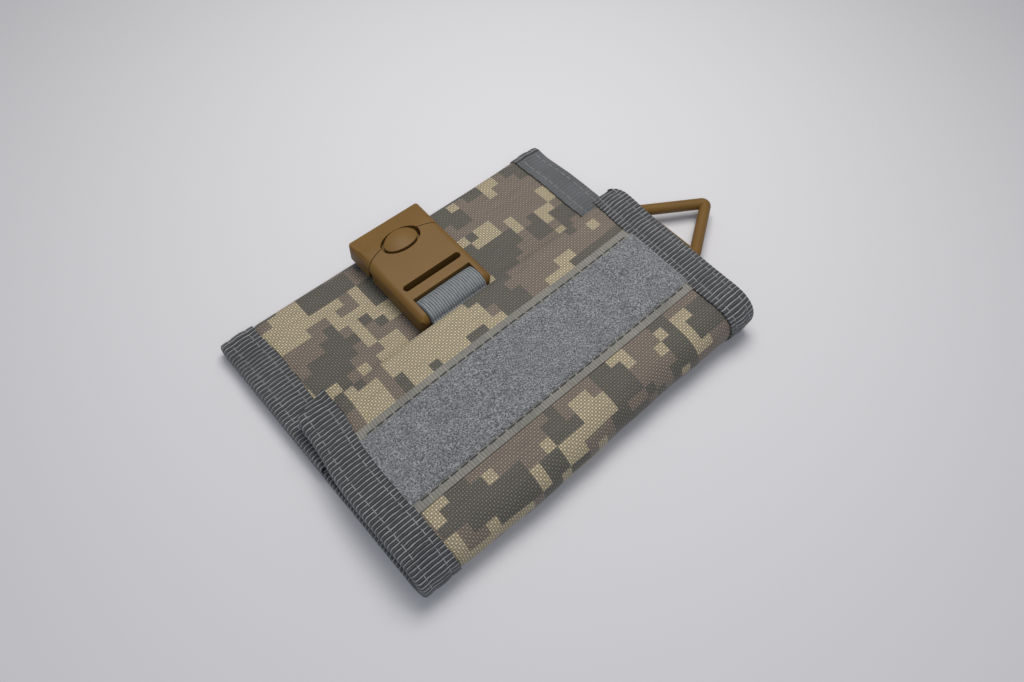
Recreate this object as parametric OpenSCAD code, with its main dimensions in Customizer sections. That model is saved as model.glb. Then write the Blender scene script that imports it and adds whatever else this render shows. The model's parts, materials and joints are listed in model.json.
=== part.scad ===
// Trifold wallet of woven cloth with grosgrain bindings, a hook-and-loop strip,
// a centre-release buckle on an elastic strap, and a triangular ring.
// X runs along the folds, Y from the near fold to the far fold, +Z up.
// The origin is the centre of the back panel's outer face.

/* [Wallet] */
// Length along the folds
wallet_l = 125; // [112:1:150]
// Width across the folds, from the near fold's outside to the far fold's outside
wallet_w = 96; // [90:1:116]
// Height of the closed stack at the near fold
near_h = 13.3; // [12.8:0.1:16]
// Height of the closed stack at the far fold
far_h = 6; // [5.8:0.1:6.4]
// Distance of the outer flap's free edge from the near fold
outer_reach = 57.5; // [54:0.5:60]
// Distance of the inner flap's free edge from the far fold
inner_reach = 51; // [40:0.5:51]

/* [Cloth] */
// Thickness of the printed oxford cloth
cloth_t = 0.8; // [0.6:0.05:1]
// Thickness of the lining and pocket cloth
lining_t = 0.4; // [0.25:0.05:0.5]
// Thickness of the stiffening board
board_t = 0.8; // [0.5:0.05:0.9]
// Thickness of the outer flap's foam
foam_t = 1.2; // [0.8:0.05:1.3]
// Width of the grosgrain binding on each face
binding_w = 11; // [8:0.5:12]
// Thickness of the grosgrain binding
binding_t = 0.5; // [0.35:0.05:0.6]
// Bound edge thickness of the back panel and of the inner flap
thin_edge_t = 2.7; // [2.5:0.05:2.8]
// Bound edge thickness of the outer flap
thick_edge_t = 4; // [3.5:0.1:4.5]

/* [Hook and loop strip] */
// Width of the whole tape, with its selvedges
tape_w = 28.6; // [24:0.2:34]
// Width of one bare selvedge
selvedge_w = 2.8; // [1.5:0.1:4]
// Distance of the tape's near edge from the near fold
tape_from_near = 15.9; // [12:0.1:20]
// Thickness of the woven tape
tape_t = 0.25; // [0.2:0.05:0.5]
// Height of the loop pile over the tape
pile_t = 0.6; // [0.3:0.05:1]

/* [Buckle] */
// Outside width of the buckle
buckle_w = 27; // [25.5:0.5:32]
// Length of the closed buckle
buckle_l = 37; // [37:0.5:42]
// Height of the buckle
buckle_h = 7; // [6.9:0.1:8]
// Tilt of the buckle, higher at its far end
buckle_tilt = 3.5; // [0:0.5:4]
// Place of the buckle's middle along the folds
buckle_x = -2.8; // [-20:0.1:20]
// Gap between the buckle's horns and the outer flap's free edge
buckle_gap = 1.8; // [1.6:0.1:3]
// Wall of the buckle's sides beside the straps
horn_w = 2.9; // [2.2:0.1:3.4]
// Thickness of the buckle's top plate
plate_t = 2; // [1.6:0.1:2.1]
// Radius of the bars that the straps turn round
bar_r = 1.5; // [1.2:0.05:1.7]
// How far the button goes down
button_travel = 1.6; // [1:0.1:2]

/* [Straps] */
// Width of the elastic strap and of the short strap
strap_w = 20.4; // [16:0.1:20.4]
// Thickness of one ply of strap
strap_t = 1; // [0.8:0.05:1.1]
// Length of the elastic strap's sewn end inside the outer flap
strap_tail_l = 13; // [9:0.5:13]

/* [Ring] */
// Height of the ring's centreline triangle, out from its bar
ring_h = 27.8; // [23:0.1:30]
// Half of the angle at the ring's point
ring_half_angle = 31; // [29:0.5:37]
// Radius of the ring's rod
ring_r = 1.9; // [1.5:0.05:2.1]
// Bend radius of the ring's corners, at the centreline
ring_bend = 3.3; // [2.5:0.1:4]
// Place of the ring's middle, from the near fold
ring_from_near = 39.5; // [30:0.5:48]
// How far the ring's bar stands out of the right edge
ring_out = 3.2; // [3.2:0.1:5]
// Droop of the ring below level
ring_droop = 1.5; // [0:0.5:5]

/* [Hidden] */

camo = "#8b8571";
grosgrain = "#5a5f66";
black_cloth = "#26282a";
coyote = "#7d6138";
elastic_grey = "#73808c";
board_grey = "#b5b5b0";

$fn = 64;
gap = 0.05;                 // between layers that lie on each other
past = 1;                   // how far a cutting solid runs past what it cuts
seam = 0.8;                 // width of a pocket's sewn edge

half_l = wallet_l / 2;
half_w = wallet_w / 2;
near_r = near_h / 2;        // outside radius of the near fold
far_r = far_h / 2;          // outside radius of the far fold
near_axis_y = near_r - half_w;
far_axis_y = half_w - far_r;
set_in = binding_t + gap;   // how far cloth steps in under a binding
inner_x = half_l - binding_w;            // inner edge of the bindings
outer_free_y = outer_reach - half_w;     // free edge of the outer flap
inner_free_y = half_w - inner_reach;     // free edge of the inner flap
cloth_end = half_l - set_in;             // cloth edge inside the binding

// Layers, counted up from the surface that the wallet lies on
board_z = cloth_t + gap;
back_lining_z = thin_edge_t - set_in - lining_t;
inner_bottom_z = far_h - thin_edge_t;
inner_lining_z = inner_bottom_z + set_in;
inner_board_z = far_h - cloth_t - gap - board_t;
foam_z = near_h - cloth_t - gap - foam_t;
outer_lining_z = foam_z - gap - lining_t;
strap_top_z = outer_lining_z - gap;      // top of the elastic strap's sewn end

// A block between two corners
module block(low, high) {
    translate(low) cube(high - low);
}

// A 2D shape in Y and Z, pushed along X between x0 and x1
module along_x(x0, x1) {
    translate([x0, 0, 0]) rotate([90, 0, 90]) linear_extrude(x1 - x0) children();
}

// A 2D shape in X and Z, pushed along Y between y0 and y1
module along_y(y0, y1) {
    translate([0, y1, 0]) rotate([90, 0, 0]) linear_extrude(y1 - y0) children();
}

// A rectangle with a radius at each of its corners, in the order
// low left, low right, high right, high left; a radius of 0 keeps the corner
module soft_rect(low, high, radii) {
    difference() {
        translate(low) square(high - low);
        corner_cut(low, [1, 1], radii[0]);
        corner_cut([high.x, low.y], [-1, 1], radii[1]);
        corner_cut(high, [-1, -1], radii[2]);
        corner_cut([low.x, high.y], [1, -1], radii[3]);
    }
}

// What a rounded corner takes away: the square corner outside its circle
module corner_cut(corner, inward, radius) {
    if (radius > 0)
        translate(corner) scale_sign(inward) difference() {
            translate([-past, -past]) square(radius + past);
            translate([radius, radius]) circle(radius);
        }
}

// Mirrors its children where a sign is negative
module scale_sign(sign) {
    mirror([sign.x < 0 ? 1 : 0, 0]) mirror([0, sign.y < 0 ? 1 : 0]) children();
}

// Cloth whose outer face is at z_face and which steps in under both bindings.
// side is 1 where the face looks up and -1 where it looks down
module stepped_cloth(y0, y1, z_face, side) {
    mid = inner_x - gap;
    back = z_face - side * cloth_t;
    edge_face = z_face - side * set_in;
    edge_back = edge_face - side * cloth_t;
    along_y(y0, y1) polygon([
        [-cloth_end, edge_face], [-mid - gap, edge_face], [-mid, z_face], [mid, z_face],
        [mid + gap, edge_face], [cloth_end, edge_face], [cloth_end, edge_back],
        [mid - cloth_t, edge_back], [mid - cloth_t, back],
        [cloth_t - mid, back], [cloth_t - mid, edge_back], [-cloth_end, edge_back]]);
}

// The binding's U section in X and Z at the right edge, from z0 to z1
module binding_section(z0, z1) {
    difference() {
        translate([inner_x, z0]) square([binding_w, z1 - z0]);
        translate([inner_x - past, z0 + binding_t])
            square([binding_w - binding_t + past, z1 - z0 - 2 * binding_t]);
    }
}

// A straight stretch of binding; side is 1 at the right edge and -1 at the left
module binding(side, y0, y1, z0, z1) {
    color(grosgrain) mirror([side < 0 ? 1 : 0, 0, 0])
        along_y(y0, y1) binding_section(z0, z1);
}

// Turns a section, given as X and radius, half a turn round an axis along X.
// side is -1 for the near fold and 1 for the far fold
module fold(axis_y, axis_z, side) {
    translate([0, axis_y, axis_z]) rotate([90, 0, 90]) rotate(-side * 90)
        rotate_extrude(angle = 180) rotate(-90) children();
}

// A fold's stepped cloth, its lining and its bindings, as sections of X and radius
module fold_cloth_section(r) {
    mid = inner_x - gap;
    in = r - set_in;
    polygon([[-cloth_end, in], [-mid - gap, in], [-mid, r], [mid, r], [mid + gap, in],
             [cloth_end, in], [cloth_end, in - cloth_t], [mid - cloth_t, in - cloth_t],
             [mid - cloth_t, r - cloth_t], [cloth_t - mid, r - cloth_t],
             [cloth_t - mid, in - cloth_t], [-cloth_end, in - cloth_t]]);
}

module fold_lining_section(r) {
    low = r - thin_edge_t + set_in;
    translate([-cloth_end, low]) square([2 * cloth_end, lining_t]);
}

module fold_binding_section(r) {
    binding_section(r - thin_edge_t, r);
    mirror([1, 0]) binding_section(r - thin_edge_t, r);
}

// A pocket: a sheet of cloth held on three sealed edges, with its mouth at y1
module pocket(x0, x1, y0, y1, floor_z, sheet_z, cloth) {
    low = sheet_z > floor_z ? floor_z : sheet_z - cloth;
    high = sheet_z > floor_z ? sheet_z + cloth : floor_z;
    difference() {
        block([x0, y0, low], [x1, y1, high]);
        block([x0 + seam, y0 + seam, sheet_z > floor_z ? low - past : sheet_z],
              [x1 - seam, y1 + past, sheet_z > floor_z ? sheet_z : high + past]);
    }
}

// ---- back panel ----
mouth_x = -inner_x + 0.5;       // left edge of the note pocket's lining
mouth_tape_w = 5;
mouth_tape_t = 0.3;
board_inset = 1.5;
pocket_l = 92;                  // inside a card of 85.6 slides freely
pocket_x = -inner_x + 6.5;      // left side of the card pockets
pocket_near_y = near_axis_y + 2;
pocket_step = 12;
pocket_rise = 0.25;             // free height inside a card pocket
middle_mouth_y = inner_free_y - 1;
rear_z = back_lining_z + lining_t + gap;
middle_z = rear_z + pocket_rise + lining_t + gap;
front_z = middle_z + pocket_rise + lining_t + gap;

module back_fabric() {
    color(camo) stepped_cloth(near_axis_y, far_axis_y, 0, -1);
}

module back_board() {
    color(board_grey)
        block([mouth_x + mouth_tape_w + 1, near_axis_y + 1, board_z],
              [inner_x - board_inset, far_axis_y - 1, min(board_z + board_t, back_lining_z - gap)]);
}

module note_pocket_lining() {
    color(black_cloth)
        block([mouth_x, near_axis_y, back_lining_z],
              [cloth_end, far_axis_y, back_lining_z + lining_t]);
}

module note_pocket_tape() {
    low = back_lining_z - mouth_tape_t - gap;
    high = back_lining_z + lining_t + mouth_tape_t + gap;
    color(grosgrain) difference() {
        block([mouth_x - mouth_tape_t, near_axis_y + 1, low],
              [mouth_x + mouth_tape_w, far_axis_y - 1, high]);
        block([mouth_x - gap, near_axis_y, back_lining_z - gap],
              [mouth_x + mouth_tape_w + past, far_axis_y, back_lining_z + lining_t + gap]);
    }
}

// One tier of the card pockets; floor_z is what it is sewn on
module card_tier(mouth_y, floor_z) {
    color(black_cloth)
        pocket(pocket_x, pocket_x + pocket_l, pocket_near_y, mouth_y, floor_z,
               floor_z + pocket_rise, lining_t);
}

module card_pocket_rear() {
    card_tier(middle_mouth_y + pocket_step, rear_z);
}

module card_pocket_middle() {
    card_tier(middle_mouth_y, middle_z);
}

module card_pocket_front() {
    card_tier(middle_mouth_y - pocket_step, front_z);
}

module back_binding_left() {
    binding(-1, near_axis_y, far_axis_y, 0, thin_edge_t);
}

module back_binding_right() {
    binding(1, near_axis_y, far_axis_y, 0, thin_edge_t);
}

// ---- folds ----
module near_fold_fabric() {
    color(camo) fold(near_axis_y, near_r, -1) fold_cloth_section(near_r);
}

module near_fold_lining() {
    color(black_cloth) fold(near_axis_y, near_r, -1) fold_lining_section(near_r);
}

module near_fold_binding() {
    color(grosgrain) fold(near_axis_y, near_r, -1) fold_binding_section(near_r);
}

module far_fold_fabric() {
    color(camo) fold(far_axis_y, far_r, 1) fold_cloth_section(far_r);
}

module far_fold_lining() {
    color(black_cloth) fold(far_axis_y, far_r, 1) fold_lining_section(far_r);
}

module far_fold_binding() {
    color(grosgrain) fold(far_axis_y, far_r, 1) fold_binding_section(far_r);
}

// ---- ring and its tab ----
ring_x = half_l + ring_out;
ring_y = ring_from_near - half_w;
tab_t = strap_t;
tab_tail_l = 14;
tab_z = thin_edge_t + gap;                       // underside of the tab's sewn end
ring_z = tab_z + tab_t + ring_r - 0.1;           // height of the ring's bar
ring_half_base = ring_h * tan(ring_half_angle);
base_angle = 90 - ring_half_angle;               // angle at each end of the bar
base_cut = ring_bend / tan(base_angle / 2);      // what the bend takes off the bar
point_cut = ring_bend / tan(ring_half_angle);    // what the bend takes off a leg
leg_l = ring_h / cos(ring_half_angle);
tab_half_w = ring_half_base - base_cut - 0.5;

module ring_corner(turn) {
    rotate_extrude(angle = turn) translate([ring_bend, 0]) circle(ring_r, $fn = 32);
}

// The ring flat in X and Y, with its bar on the Y axis and its point towards +X;
// the straight rods run a little way into the bends
module ring_flat() {
    lap = 0.15;
    rod_r = ring_r - 0.02;
    rotate([90, 0, 0])
        cylinder(r = rod_r, h = 2 * (ring_half_base - base_cut + lap), center = true, $fn = 32);
    for (side = [-1, 1]) mirror([0, side < 0 ? 1 : 0, 0]) {
        translate([ring_bend, ring_half_base - base_cut, 0])
            rotate([0, 0, base_angle]) ring_corner(180 - base_angle);
        translate([0, ring_half_base, 0]) rotate([0, 0, -ring_half_angle]) rotate([0, 90, 0])
            translate([0, 0, base_cut - lap])
                cylinder(r = rod_r, h = leg_l - base_cut - point_cut + 2 * lap, $fn = 32);
    }
    translate([ring_h - ring_bend / sin(ring_half_angle), 0, 0])
        rotate([0, 0, -base_angle]) ring_corner(2 * base_angle);
}

module triangle_ring() {
    color(coyote) translate([ring_x, ring_y, ring_z]) rotate([0, ring_droop, 0]) ring_flat();
}

// Two plies sewn to the back panel beside the inner flap, and one turn round the ring's bar
module ring_tab() {
    wrap_r = ring_r + gap;
    far_side = min(ring_y + tab_half_w, inner_free_y - 0.3);
    color(grosgrain) difference() {
        union() {
            block([half_l - tab_tail_l, ring_y - tab_half_w, tab_z],
                  [half_l + gap, far_side, tab_z + 2 * tab_t]);
            along_y(ring_y - tab_half_w, ring_y + tab_half_w) {
                translate([half_l + gap, tab_z]) square([ring_out - gap, 2 * tab_t]);
                translate([ring_x, ring_z]) circle(wrap_r + tab_t);
            }
        }
        along_y(ring_y - tab_half_w - past, ring_y + tab_half_w + past)
            translate([ring_x, ring_z]) circle(wrap_r);
    }
}

// ---- outer flap ----
coin_near_y = near_axis_y + 2.5;
coin_mouth_y = outer_free_y - strap_tail_l - 1;
coin_half_l = inner_x - 3;
coin_sheet_z = near_r - gap;              // underside of the coin pocket
closure_w = 8;
closure_t = 0.6;

module outer_flap_fabric() {
    color(camo) {
        stepped_cloth(near_axis_y, outer_free_y, near_h, 1);
        block([-inner_x + gap, outer_free_y - cloth_t, outer_lining_z],
              [inner_x - gap, outer_free_y, near_h - cloth_t / 2]);
    }
}

module outer_flap_foam() {
    color(board_grey)
        block([-inner_x + board_inset, near_axis_y + 1, foam_z],
              [inner_x - board_inset, outer_free_y - cloth_t - gap, foam_z + foam_t]);
}

module outer_flap_lining() {
    color(black_cloth)
        block([-cloth_end, near_axis_y, outer_lining_z],
              [cloth_end, outer_free_y - cloth_t - gap, outer_lining_z + lining_t]);
}

module outer_flap_binding_left() {
    binding(-1, near_axis_y, outer_free_y, near_h - thick_edge_t, near_h);
}

module outer_flap_binding_right() {
    binding(1, near_axis_y, outer_free_y, near_h - thick_edge_t, near_h);
}

module coin_pocket() {
    color(black_cloth)
        pocket(-coin_half_l, coin_half_l, coin_near_y, coin_mouth_y, outer_lining_z - gap,
               coin_sheet_z + lining_t, lining_t);
}

// One strip of the coin pocket's closure, inside its mouth
module closure_strip(z0) {
    block([-coin_half_l + 2 * seam, coin_mouth_y - closure_w - 1, z0],
          [coin_half_l - 2 * seam, coin_mouth_y - 1, z0 + closure_t]);
}

module coin_pocket_hook_strip() {
    color(black_cloth) closure_strip(outer_lining_z - gap - closure_t);
}

module coin_pocket_loop_strip() {
    color(black_cloth) closure_strip(coin_sheet_z + lining_t + gap);
}

tape_y = tape_from_near - half_w;
tape_half_l = inner_x - 2 * gap;

module loop_tape_base() {
    color(elastic_grey)
        block([-tape_half_l, tape_y, near_h], [tape_half_l, tape_y + tape_w, near_h + tape_t]);
}

module loop_tape_pile() {
    color(elastic_grey)
        block([-tape_half_l, tape_y + selvedge_w, near_h + tape_t],
              [tape_half_l, tape_y + tape_w - selvedge_w, near_h + tape_t + pile_t]);
}

// ---- inner flap ----
inner_pocket_l = 70;
inner_pocket_rise = 0.2;

module inner_flap_fabric() {
    color(camo) {
        stepped_cloth(inner_free_y, far_axis_y, far_h, 1);
        block([-inner_x + gap, inner_free_y, inner_lining_z],
              [inner_x - gap, inner_free_y + cloth_t, far_h - cloth_t / 2]);
    }
}

module inner_flap_board() {
    color(board_grey)
        block([-inner_x + board_inset, inner_free_y + cloth_t + gap,
               max(inner_board_z, inner_lining_z + lining_t + gap)],
              [inner_x - board_inset, far_axis_y - 1, far_h - cloth_t - gap]);
}

module inner_flap_lining() {
    color(black_cloth)
        block([-cloth_end, inner_free_y + cloth_t + gap, inner_lining_z],
              [cloth_end, far_axis_y, inner_lining_z + lining_t]);
}

module inner_flap_pocket() {
    cloth = inner_lining_z - inner_bottom_z - inner_pocket_rise - gap;
    color(black_cloth)
        translate([0, inner_free_y + far_axis_y, 0]) mirror([0, 1, 0])
            pocket(-inner_pocket_l / 2, inner_pocket_l / 2, inner_free_y + 3, far_axis_y - 6,
                   inner_lining_z - gap, inner_bottom_z + cloth, cloth);
}

module inner_flap_binding_left() {
    binding(-1, inner_free_y, far_axis_y, inner_bottom_z, far_h);
}

module inner_flap_binding_right() {
    binding(1, inner_free_y, far_axis_y, inner_bottom_z, far_h);
}

// ---- buckle; its own Y is counted from the tips of the horns, its Z from its underside ----
buckle_y = outer_free_y + buckle_gap;
buckle_z = far_h + 0.3;
half_b = buckle_w / 2;
side_in = half_b - horn_w;                // inside of the horns
cross_y = 2.8;                            // bar that the elastic strap turns round
cross_z = buckle_h - 3;
mid_bar = [8.2, 11.3];                    // bar between the two slots
slot_end_y = 13.5;
channel = [15.5, 9.5];                    // where the tongue's channel begins, and its half width
point_y = 29.1;                           // the female half's arched front, at its middle
arch_r = 27.4;
part_gap = 0.25;                          // between the two halves
button_y = 27.6;
hole_half = [6.9, 4.2];                     // half length and half width of the button's opening
button_half = [5.7, 3.5];
male_bar_y = buckle_l - 2.7;
male_bar_z = 2.3;
tongue_tip_y = channel[0] + 1;
tongue_z = [1.4, 4.6];
prong = [6.9, 9.2];                       // inside and outside of each prong
flange_z = [tongue_z[0] + 0.4 + button_travel, tongue_z[0] + 1.6 + button_travel];  // stops on the tongue's level

// An oval of the given half length and half width
module oval(half) {
    scale([1, half.y / half.x]) circle(half.x);
}

// Places children in the wallet
module in_buckle() {
    translate([buckle_x, buckle_y, buckle_z]) rotate([buckle_tilt, 0, 0]) children();
}

// Where a point of the buckle, given by its own Y and Z, is in the wallet's Y and Z
function buckle_point(y, z) =
    [buckle_y + y * cos(buckle_tilt) - z * sin(buckle_tilt),
     buckle_z + y * sin(buckle_tilt) + z * cos(buckle_tilt)];

// The buckle's outside: its plan, side and end views in common
module buckle_envelope() {
    intersection() {
        linear_extrude(buckle_h) soft_rect([-half_b, 0], [half_b, buckle_l], [2.6, 2.6, 2.4, 2.4]);
        along_x(-half_b, half_b) difference() {
            soft_rect([0, 0], [buckle_l, buckle_h], [3, 0.8, 2.4, 3.2]);
            translate([buckle_l - 8, buckle_h]) rotate(-8) square([12, 4]);
        }
        along_y(0, buckle_l)
            soft_rect([-half_b, 0], [half_b, buckle_h], [0.8, 0.8, 2.6, 2.6]);
    }
}

// The disc whose edge is the female half's arched front, grown by more
module arch_disc(more) {
    translate([0, point_y - arch_r]) circle(arch_r + more, $fn = 96);
}

module slot_shape(y0, y1) {
    r = (y1 - y0) / 2;
    translate([0, y0 + r]) {
        square([2 * side_in - 2 * r, 2 * r], center = true);
        for (side = [-1, 1]) translate([side * (side_in - r), 0]) circle(r, $fn = 32);
    }
}

module buckle_female() {
    color(coyote) in_buckle() {
        difference() {
            intersection() {
                buckle_envelope();
                translate([0, 0, -past]) linear_extrude(buckle_h + 2 * past) arch_disc(0);
            }
            // strap window between the horns, and the open slot
            translate([-side_in, -past, -past]) cube([2 * side_in, mid_bar[0] + past, buckle_h + 2 * past]);
            translate([0, 0, -past]) linear_extrude(buckle_h + 2 * past)
                slot_shape(mid_bar[1], slot_end_y);
            // channel for the tongue, open underneath
            translate([-channel[1], channel[0], -past])
                cube([2 * channel[1], buckle_l, buckle_h - plate_t + past]);
            // near half of the button's opening
            translate([0, button_y, 0]) linear_extrude(buckle_h + past) oval(hole_half);
            translate([-hole_half.x, button_y, 0]) cube([2 * hole_half.x, 8, buckle_h + past]);
            // the lower front stands back, so that the half can tip up
            translate([0, 0, -past]) linear_extrude(tongue_z[1] - 0.4 + past) difference() {
                translate([-half_b - past, channel[0] + 4]) square([buckle_w + 2 * past, buckle_l]);
                arch_disc(-1.2);
            }
        }
        translate([0, cross_y, cross_z]) rotate([0, 90, 0])
            cylinder(r = bar_r, h = buckle_w - horn_w, center = true);
    }
}

module buckle_male() {
    color(coyote) in_buckle() {
        difference() {
            buckle_envelope();
            translate([0, 0, -past]) linear_extrude(buckle_h + 2 * past) arch_disc(part_gap);
            // room for the strap and the bar, open underneath and at the end
            translate([-side_in, button_y + button_half.y + 0.3, -past])
                cube([2 * side_in, buckle_l, buckle_h - plate_t + past]);
            // room for the button's flange, and the far half of its opening
            translate([-prong[0], channel[0], -past]) cube([2 * prong[0], button_y + 4 - channel[0], buckle_h - plate_t + past]);
            translate([0, button_y, 0]) linear_extrude(buckle_h + past) oval(hole_half);
        }
        for (side = [-1, 1]) mirror([side < 0 ? 1 : 0, 0, 0])
            block([prong[0], tongue_tip_y, tongue_z[0]], [prong[1], button_y + 3.8, tongue_z[1]]);
        block([-prong[1], tongue_tip_y, tongue_z[0]], [prong[1], tongue_tip_y + 2.5, tongue_z[1]]);
        translate([0, male_bar_y, male_bar_z]) rotate([0, 90, 0])
            cylinder(r = bar_r, h = buckle_w - horn_w, center = true);
    }
}

module release_button() {
    dome_r = 14;
    color(coyote) in_buckle() translate([0, button_y, 0]) {
        intersection() {
            translate([0, 0, flange_z[0]]) linear_extrude(buckle_h) oval(button_half);
            translate([0, 0, buckle_h + 0.9 - dome_r]) sphere(dome_r, $fn = 96);
        }
        block([-prong[0] + 0.4, -7, flange_z[0]], [prong[0] - 0.4, button_half.y, flange_z[1]]);
    }
}

// ---- straps ----
// Two plies sewn under the outer flap's edge, then one turn round the female half's bar
module elastic_strap() {
    bar = buckle_point(cross_y, cross_z);
    hole_r = bar_r + gap;
    turn_r = hole_r + strap_t;
    low = strap_top_z - 2 * strap_t;
    color(elastic_grey) translate([buckle_x, 0, 0]) difference() {
        union() {
            along_x(-strap_w / 2, strap_w / 2) translate(bar) circle(turn_r);
            along_x(-strap_w / 2, strap_w / 2)
                polygon([[outer_free_y - strap_tail_l, low],
                         [outer_free_y - strap_tail_l, strap_top_z], [outer_free_y, strap_top_z],
                         bar + (hole_r + 0.6 * strap_t) * [cos(125), sin(125)],
                         bar + (hole_r + 0.6 * strap_t) * [cos(245), sin(245)],
                         [outer_free_y, low]]);
        }
        along_x(-strap_w / 2 - past, strap_w / 2 + past) translate(bar) circle(hole_r);
    }
}

anchor_to = -45;              // where the short strap goes into the far fold's seam
anchor_r = far_r + gap;
// Where it leaves the fold, up from level: round far enough to clear the fold on its way to the bar
strap_run = buckle_point(male_bar_y, male_bar_z) - [far_axis_y, far_r];
anchor_from = max(60, atan2(strap_run[1], strap_run[0])
                  - acos((anchor_r + bar_r + strap_t + 2 * gap) / norm(strap_run)));

// Short strap's stretch round the far fold
module short_strap_anchor() {
    color(grosgrain)
        translate([buckle_x - strap_w / 2, far_axis_y, far_r]) rotate([90, 0, 90])
            rotate([0, 0, anchor_to]) rotate_extrude(angle = anchor_from - anchor_to)
                translate([anchor_r, 0]) square([strap_t, strap_w]);
}

// Short strap's turn round the male half's bar
module short_strap_loop() {
    bar = buckle_point(male_bar_y, male_bar_z);
    hole_r = bar_r + gap;
    turn_r = hole_r + strap_t;
    axis = [far_axis_y, far_r];
    out = [cos(anchor_from), sin(anchor_from)];
    color(grosgrain)
        translate([buckle_x, 0, 0]) along_x(-strap_w / 2, strap_w / 2) difference() {
            union() {
                translate(bar) circle(turn_r);
                polygon([axis + (anchor_r + gap) * out, axis + (anchor_r + strap_t) * out,
                         bar + turn_r * [cos(-10), sin(-10)], bar,
                         bar + turn_r * [cos(-80), sin(-80)]]);
            }
            translate(bar) circle(hole_r);
        }
}

back_fabric();
back_board();
note_pocket_lining();
note_pocket_tape();
card_pocket_rear();
card_pocket_middle();
card_pocket_front();
back_binding_left();
back_binding_right();
ring_tab();
triangle_ring();
near_fold_fabric();
near_fold_lining();
near_fold_binding();
far_fold_fabric();
far_fold_lining();
far_fold_binding();
short_strap_anchor();
outer_flap_fabric();
outer_flap_foam();
outer_flap_lining();
outer_flap_binding_left();
outer_flap_binding_right();
coin_pocket();
coin_pocket_hook_strip();
coin_pocket_loop_strip();
loop_tape_base();
loop_tape_pile();
elastic_strap();
inner_flap_fabric();
inner_flap_board();
inner_flap_lining();
inner_flap_pocket();
inner_flap_binding_left();
inner_flap_binding_right();
buckle_female();
buckle_male();
release_button();
short_strap_loop();
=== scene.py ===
"""Trifold wallet of printed oxford cloth: the visual model and its studio.

Lengths in this file are millimetres until a mesh is made. X runs along the folds, Y from the
near fold to the far fold, Z up. Cloth is described by where a point lies on the one long strip
of cloth: x across it, s along it from the outer flap's free edge, and n above its outer face.
"""

import json
import logging
import math
import random
from collections.abc import Callable, Iterable, Sequence
from dataclasses import dataclass
from enum import Enum

import bmesh
import bpy
from mathutils import Matrix, Vector

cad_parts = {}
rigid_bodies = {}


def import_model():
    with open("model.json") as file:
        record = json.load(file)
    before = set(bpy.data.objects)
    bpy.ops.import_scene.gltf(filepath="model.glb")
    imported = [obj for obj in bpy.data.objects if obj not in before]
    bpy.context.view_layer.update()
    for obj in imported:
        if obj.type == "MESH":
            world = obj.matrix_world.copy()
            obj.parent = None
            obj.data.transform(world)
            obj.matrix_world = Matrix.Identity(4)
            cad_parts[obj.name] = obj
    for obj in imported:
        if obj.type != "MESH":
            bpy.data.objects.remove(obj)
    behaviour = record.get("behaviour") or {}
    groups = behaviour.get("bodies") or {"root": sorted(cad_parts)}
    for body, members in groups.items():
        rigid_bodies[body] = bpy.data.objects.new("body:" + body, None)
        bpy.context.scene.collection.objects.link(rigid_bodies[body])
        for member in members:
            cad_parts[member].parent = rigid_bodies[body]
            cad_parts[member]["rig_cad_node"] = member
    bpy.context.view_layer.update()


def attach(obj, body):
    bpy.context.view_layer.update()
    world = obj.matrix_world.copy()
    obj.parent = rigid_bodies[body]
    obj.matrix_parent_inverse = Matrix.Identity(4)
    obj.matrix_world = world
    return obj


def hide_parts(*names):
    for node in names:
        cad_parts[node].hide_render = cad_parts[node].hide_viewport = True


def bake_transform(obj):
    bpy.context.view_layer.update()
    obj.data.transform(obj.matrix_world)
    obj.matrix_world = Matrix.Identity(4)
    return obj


log = logging.getLogger("wallet")
MM = 0.001
RIB = 1.3  # spacing of the binding ribbon's ribs
CORD = 0.85  # spacing of the cords along the elastic strap
TABLE_SKIN = 0.6  # cloth that comes lower than this is pressed flat above the table
RING_BAR = (65.7, -8.5, 5.55)  # middle of the bar that the ring swings on
POCKET_CELL = 2.2  # grid size of the pocket cloths, which are nearly flat

Pair = tuple[float, float]
Point = tuple[float, float, float]
Relief = Callable[[float, float], float]
Row = tuple[Callable[[float, float], Point], float, float]
Material = bpy.types.Material
Piece = bpy.types.Object
Socket = bpy.types.NodeSocket


def smooth(t: float) -> float:
    """Eases from 0 to 1 as t goes from 0 to 1."""
    t = min(max(t, 0.0), 1.0)
    return t * t * (3 - 2 * t)


# ------------------------------------------------------------------ cloth geometry


class Body(Enum):
    """The rigid bodies that a piece can ride on."""

    BACK = "back_panel"
    OUTER = "outer_flap"
    INNER = "inner_flap"
    MALE = "buckle_male_half"
    BUTTON = "button"
    RING = "ring"


NEAR_FOLD = (Body.BACK, Body.OUTER)
FAR_FOLD = (Body.BACK, Body.INNER)
BUCKLE_STRAP = (Body.INNER, Body.MALE)


class Held(Enum):
    """How a sheet of cloth is held."""

    STRETCHED = "stretched"
    FOLDED = "folded"
    LAID = "laid"


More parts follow.
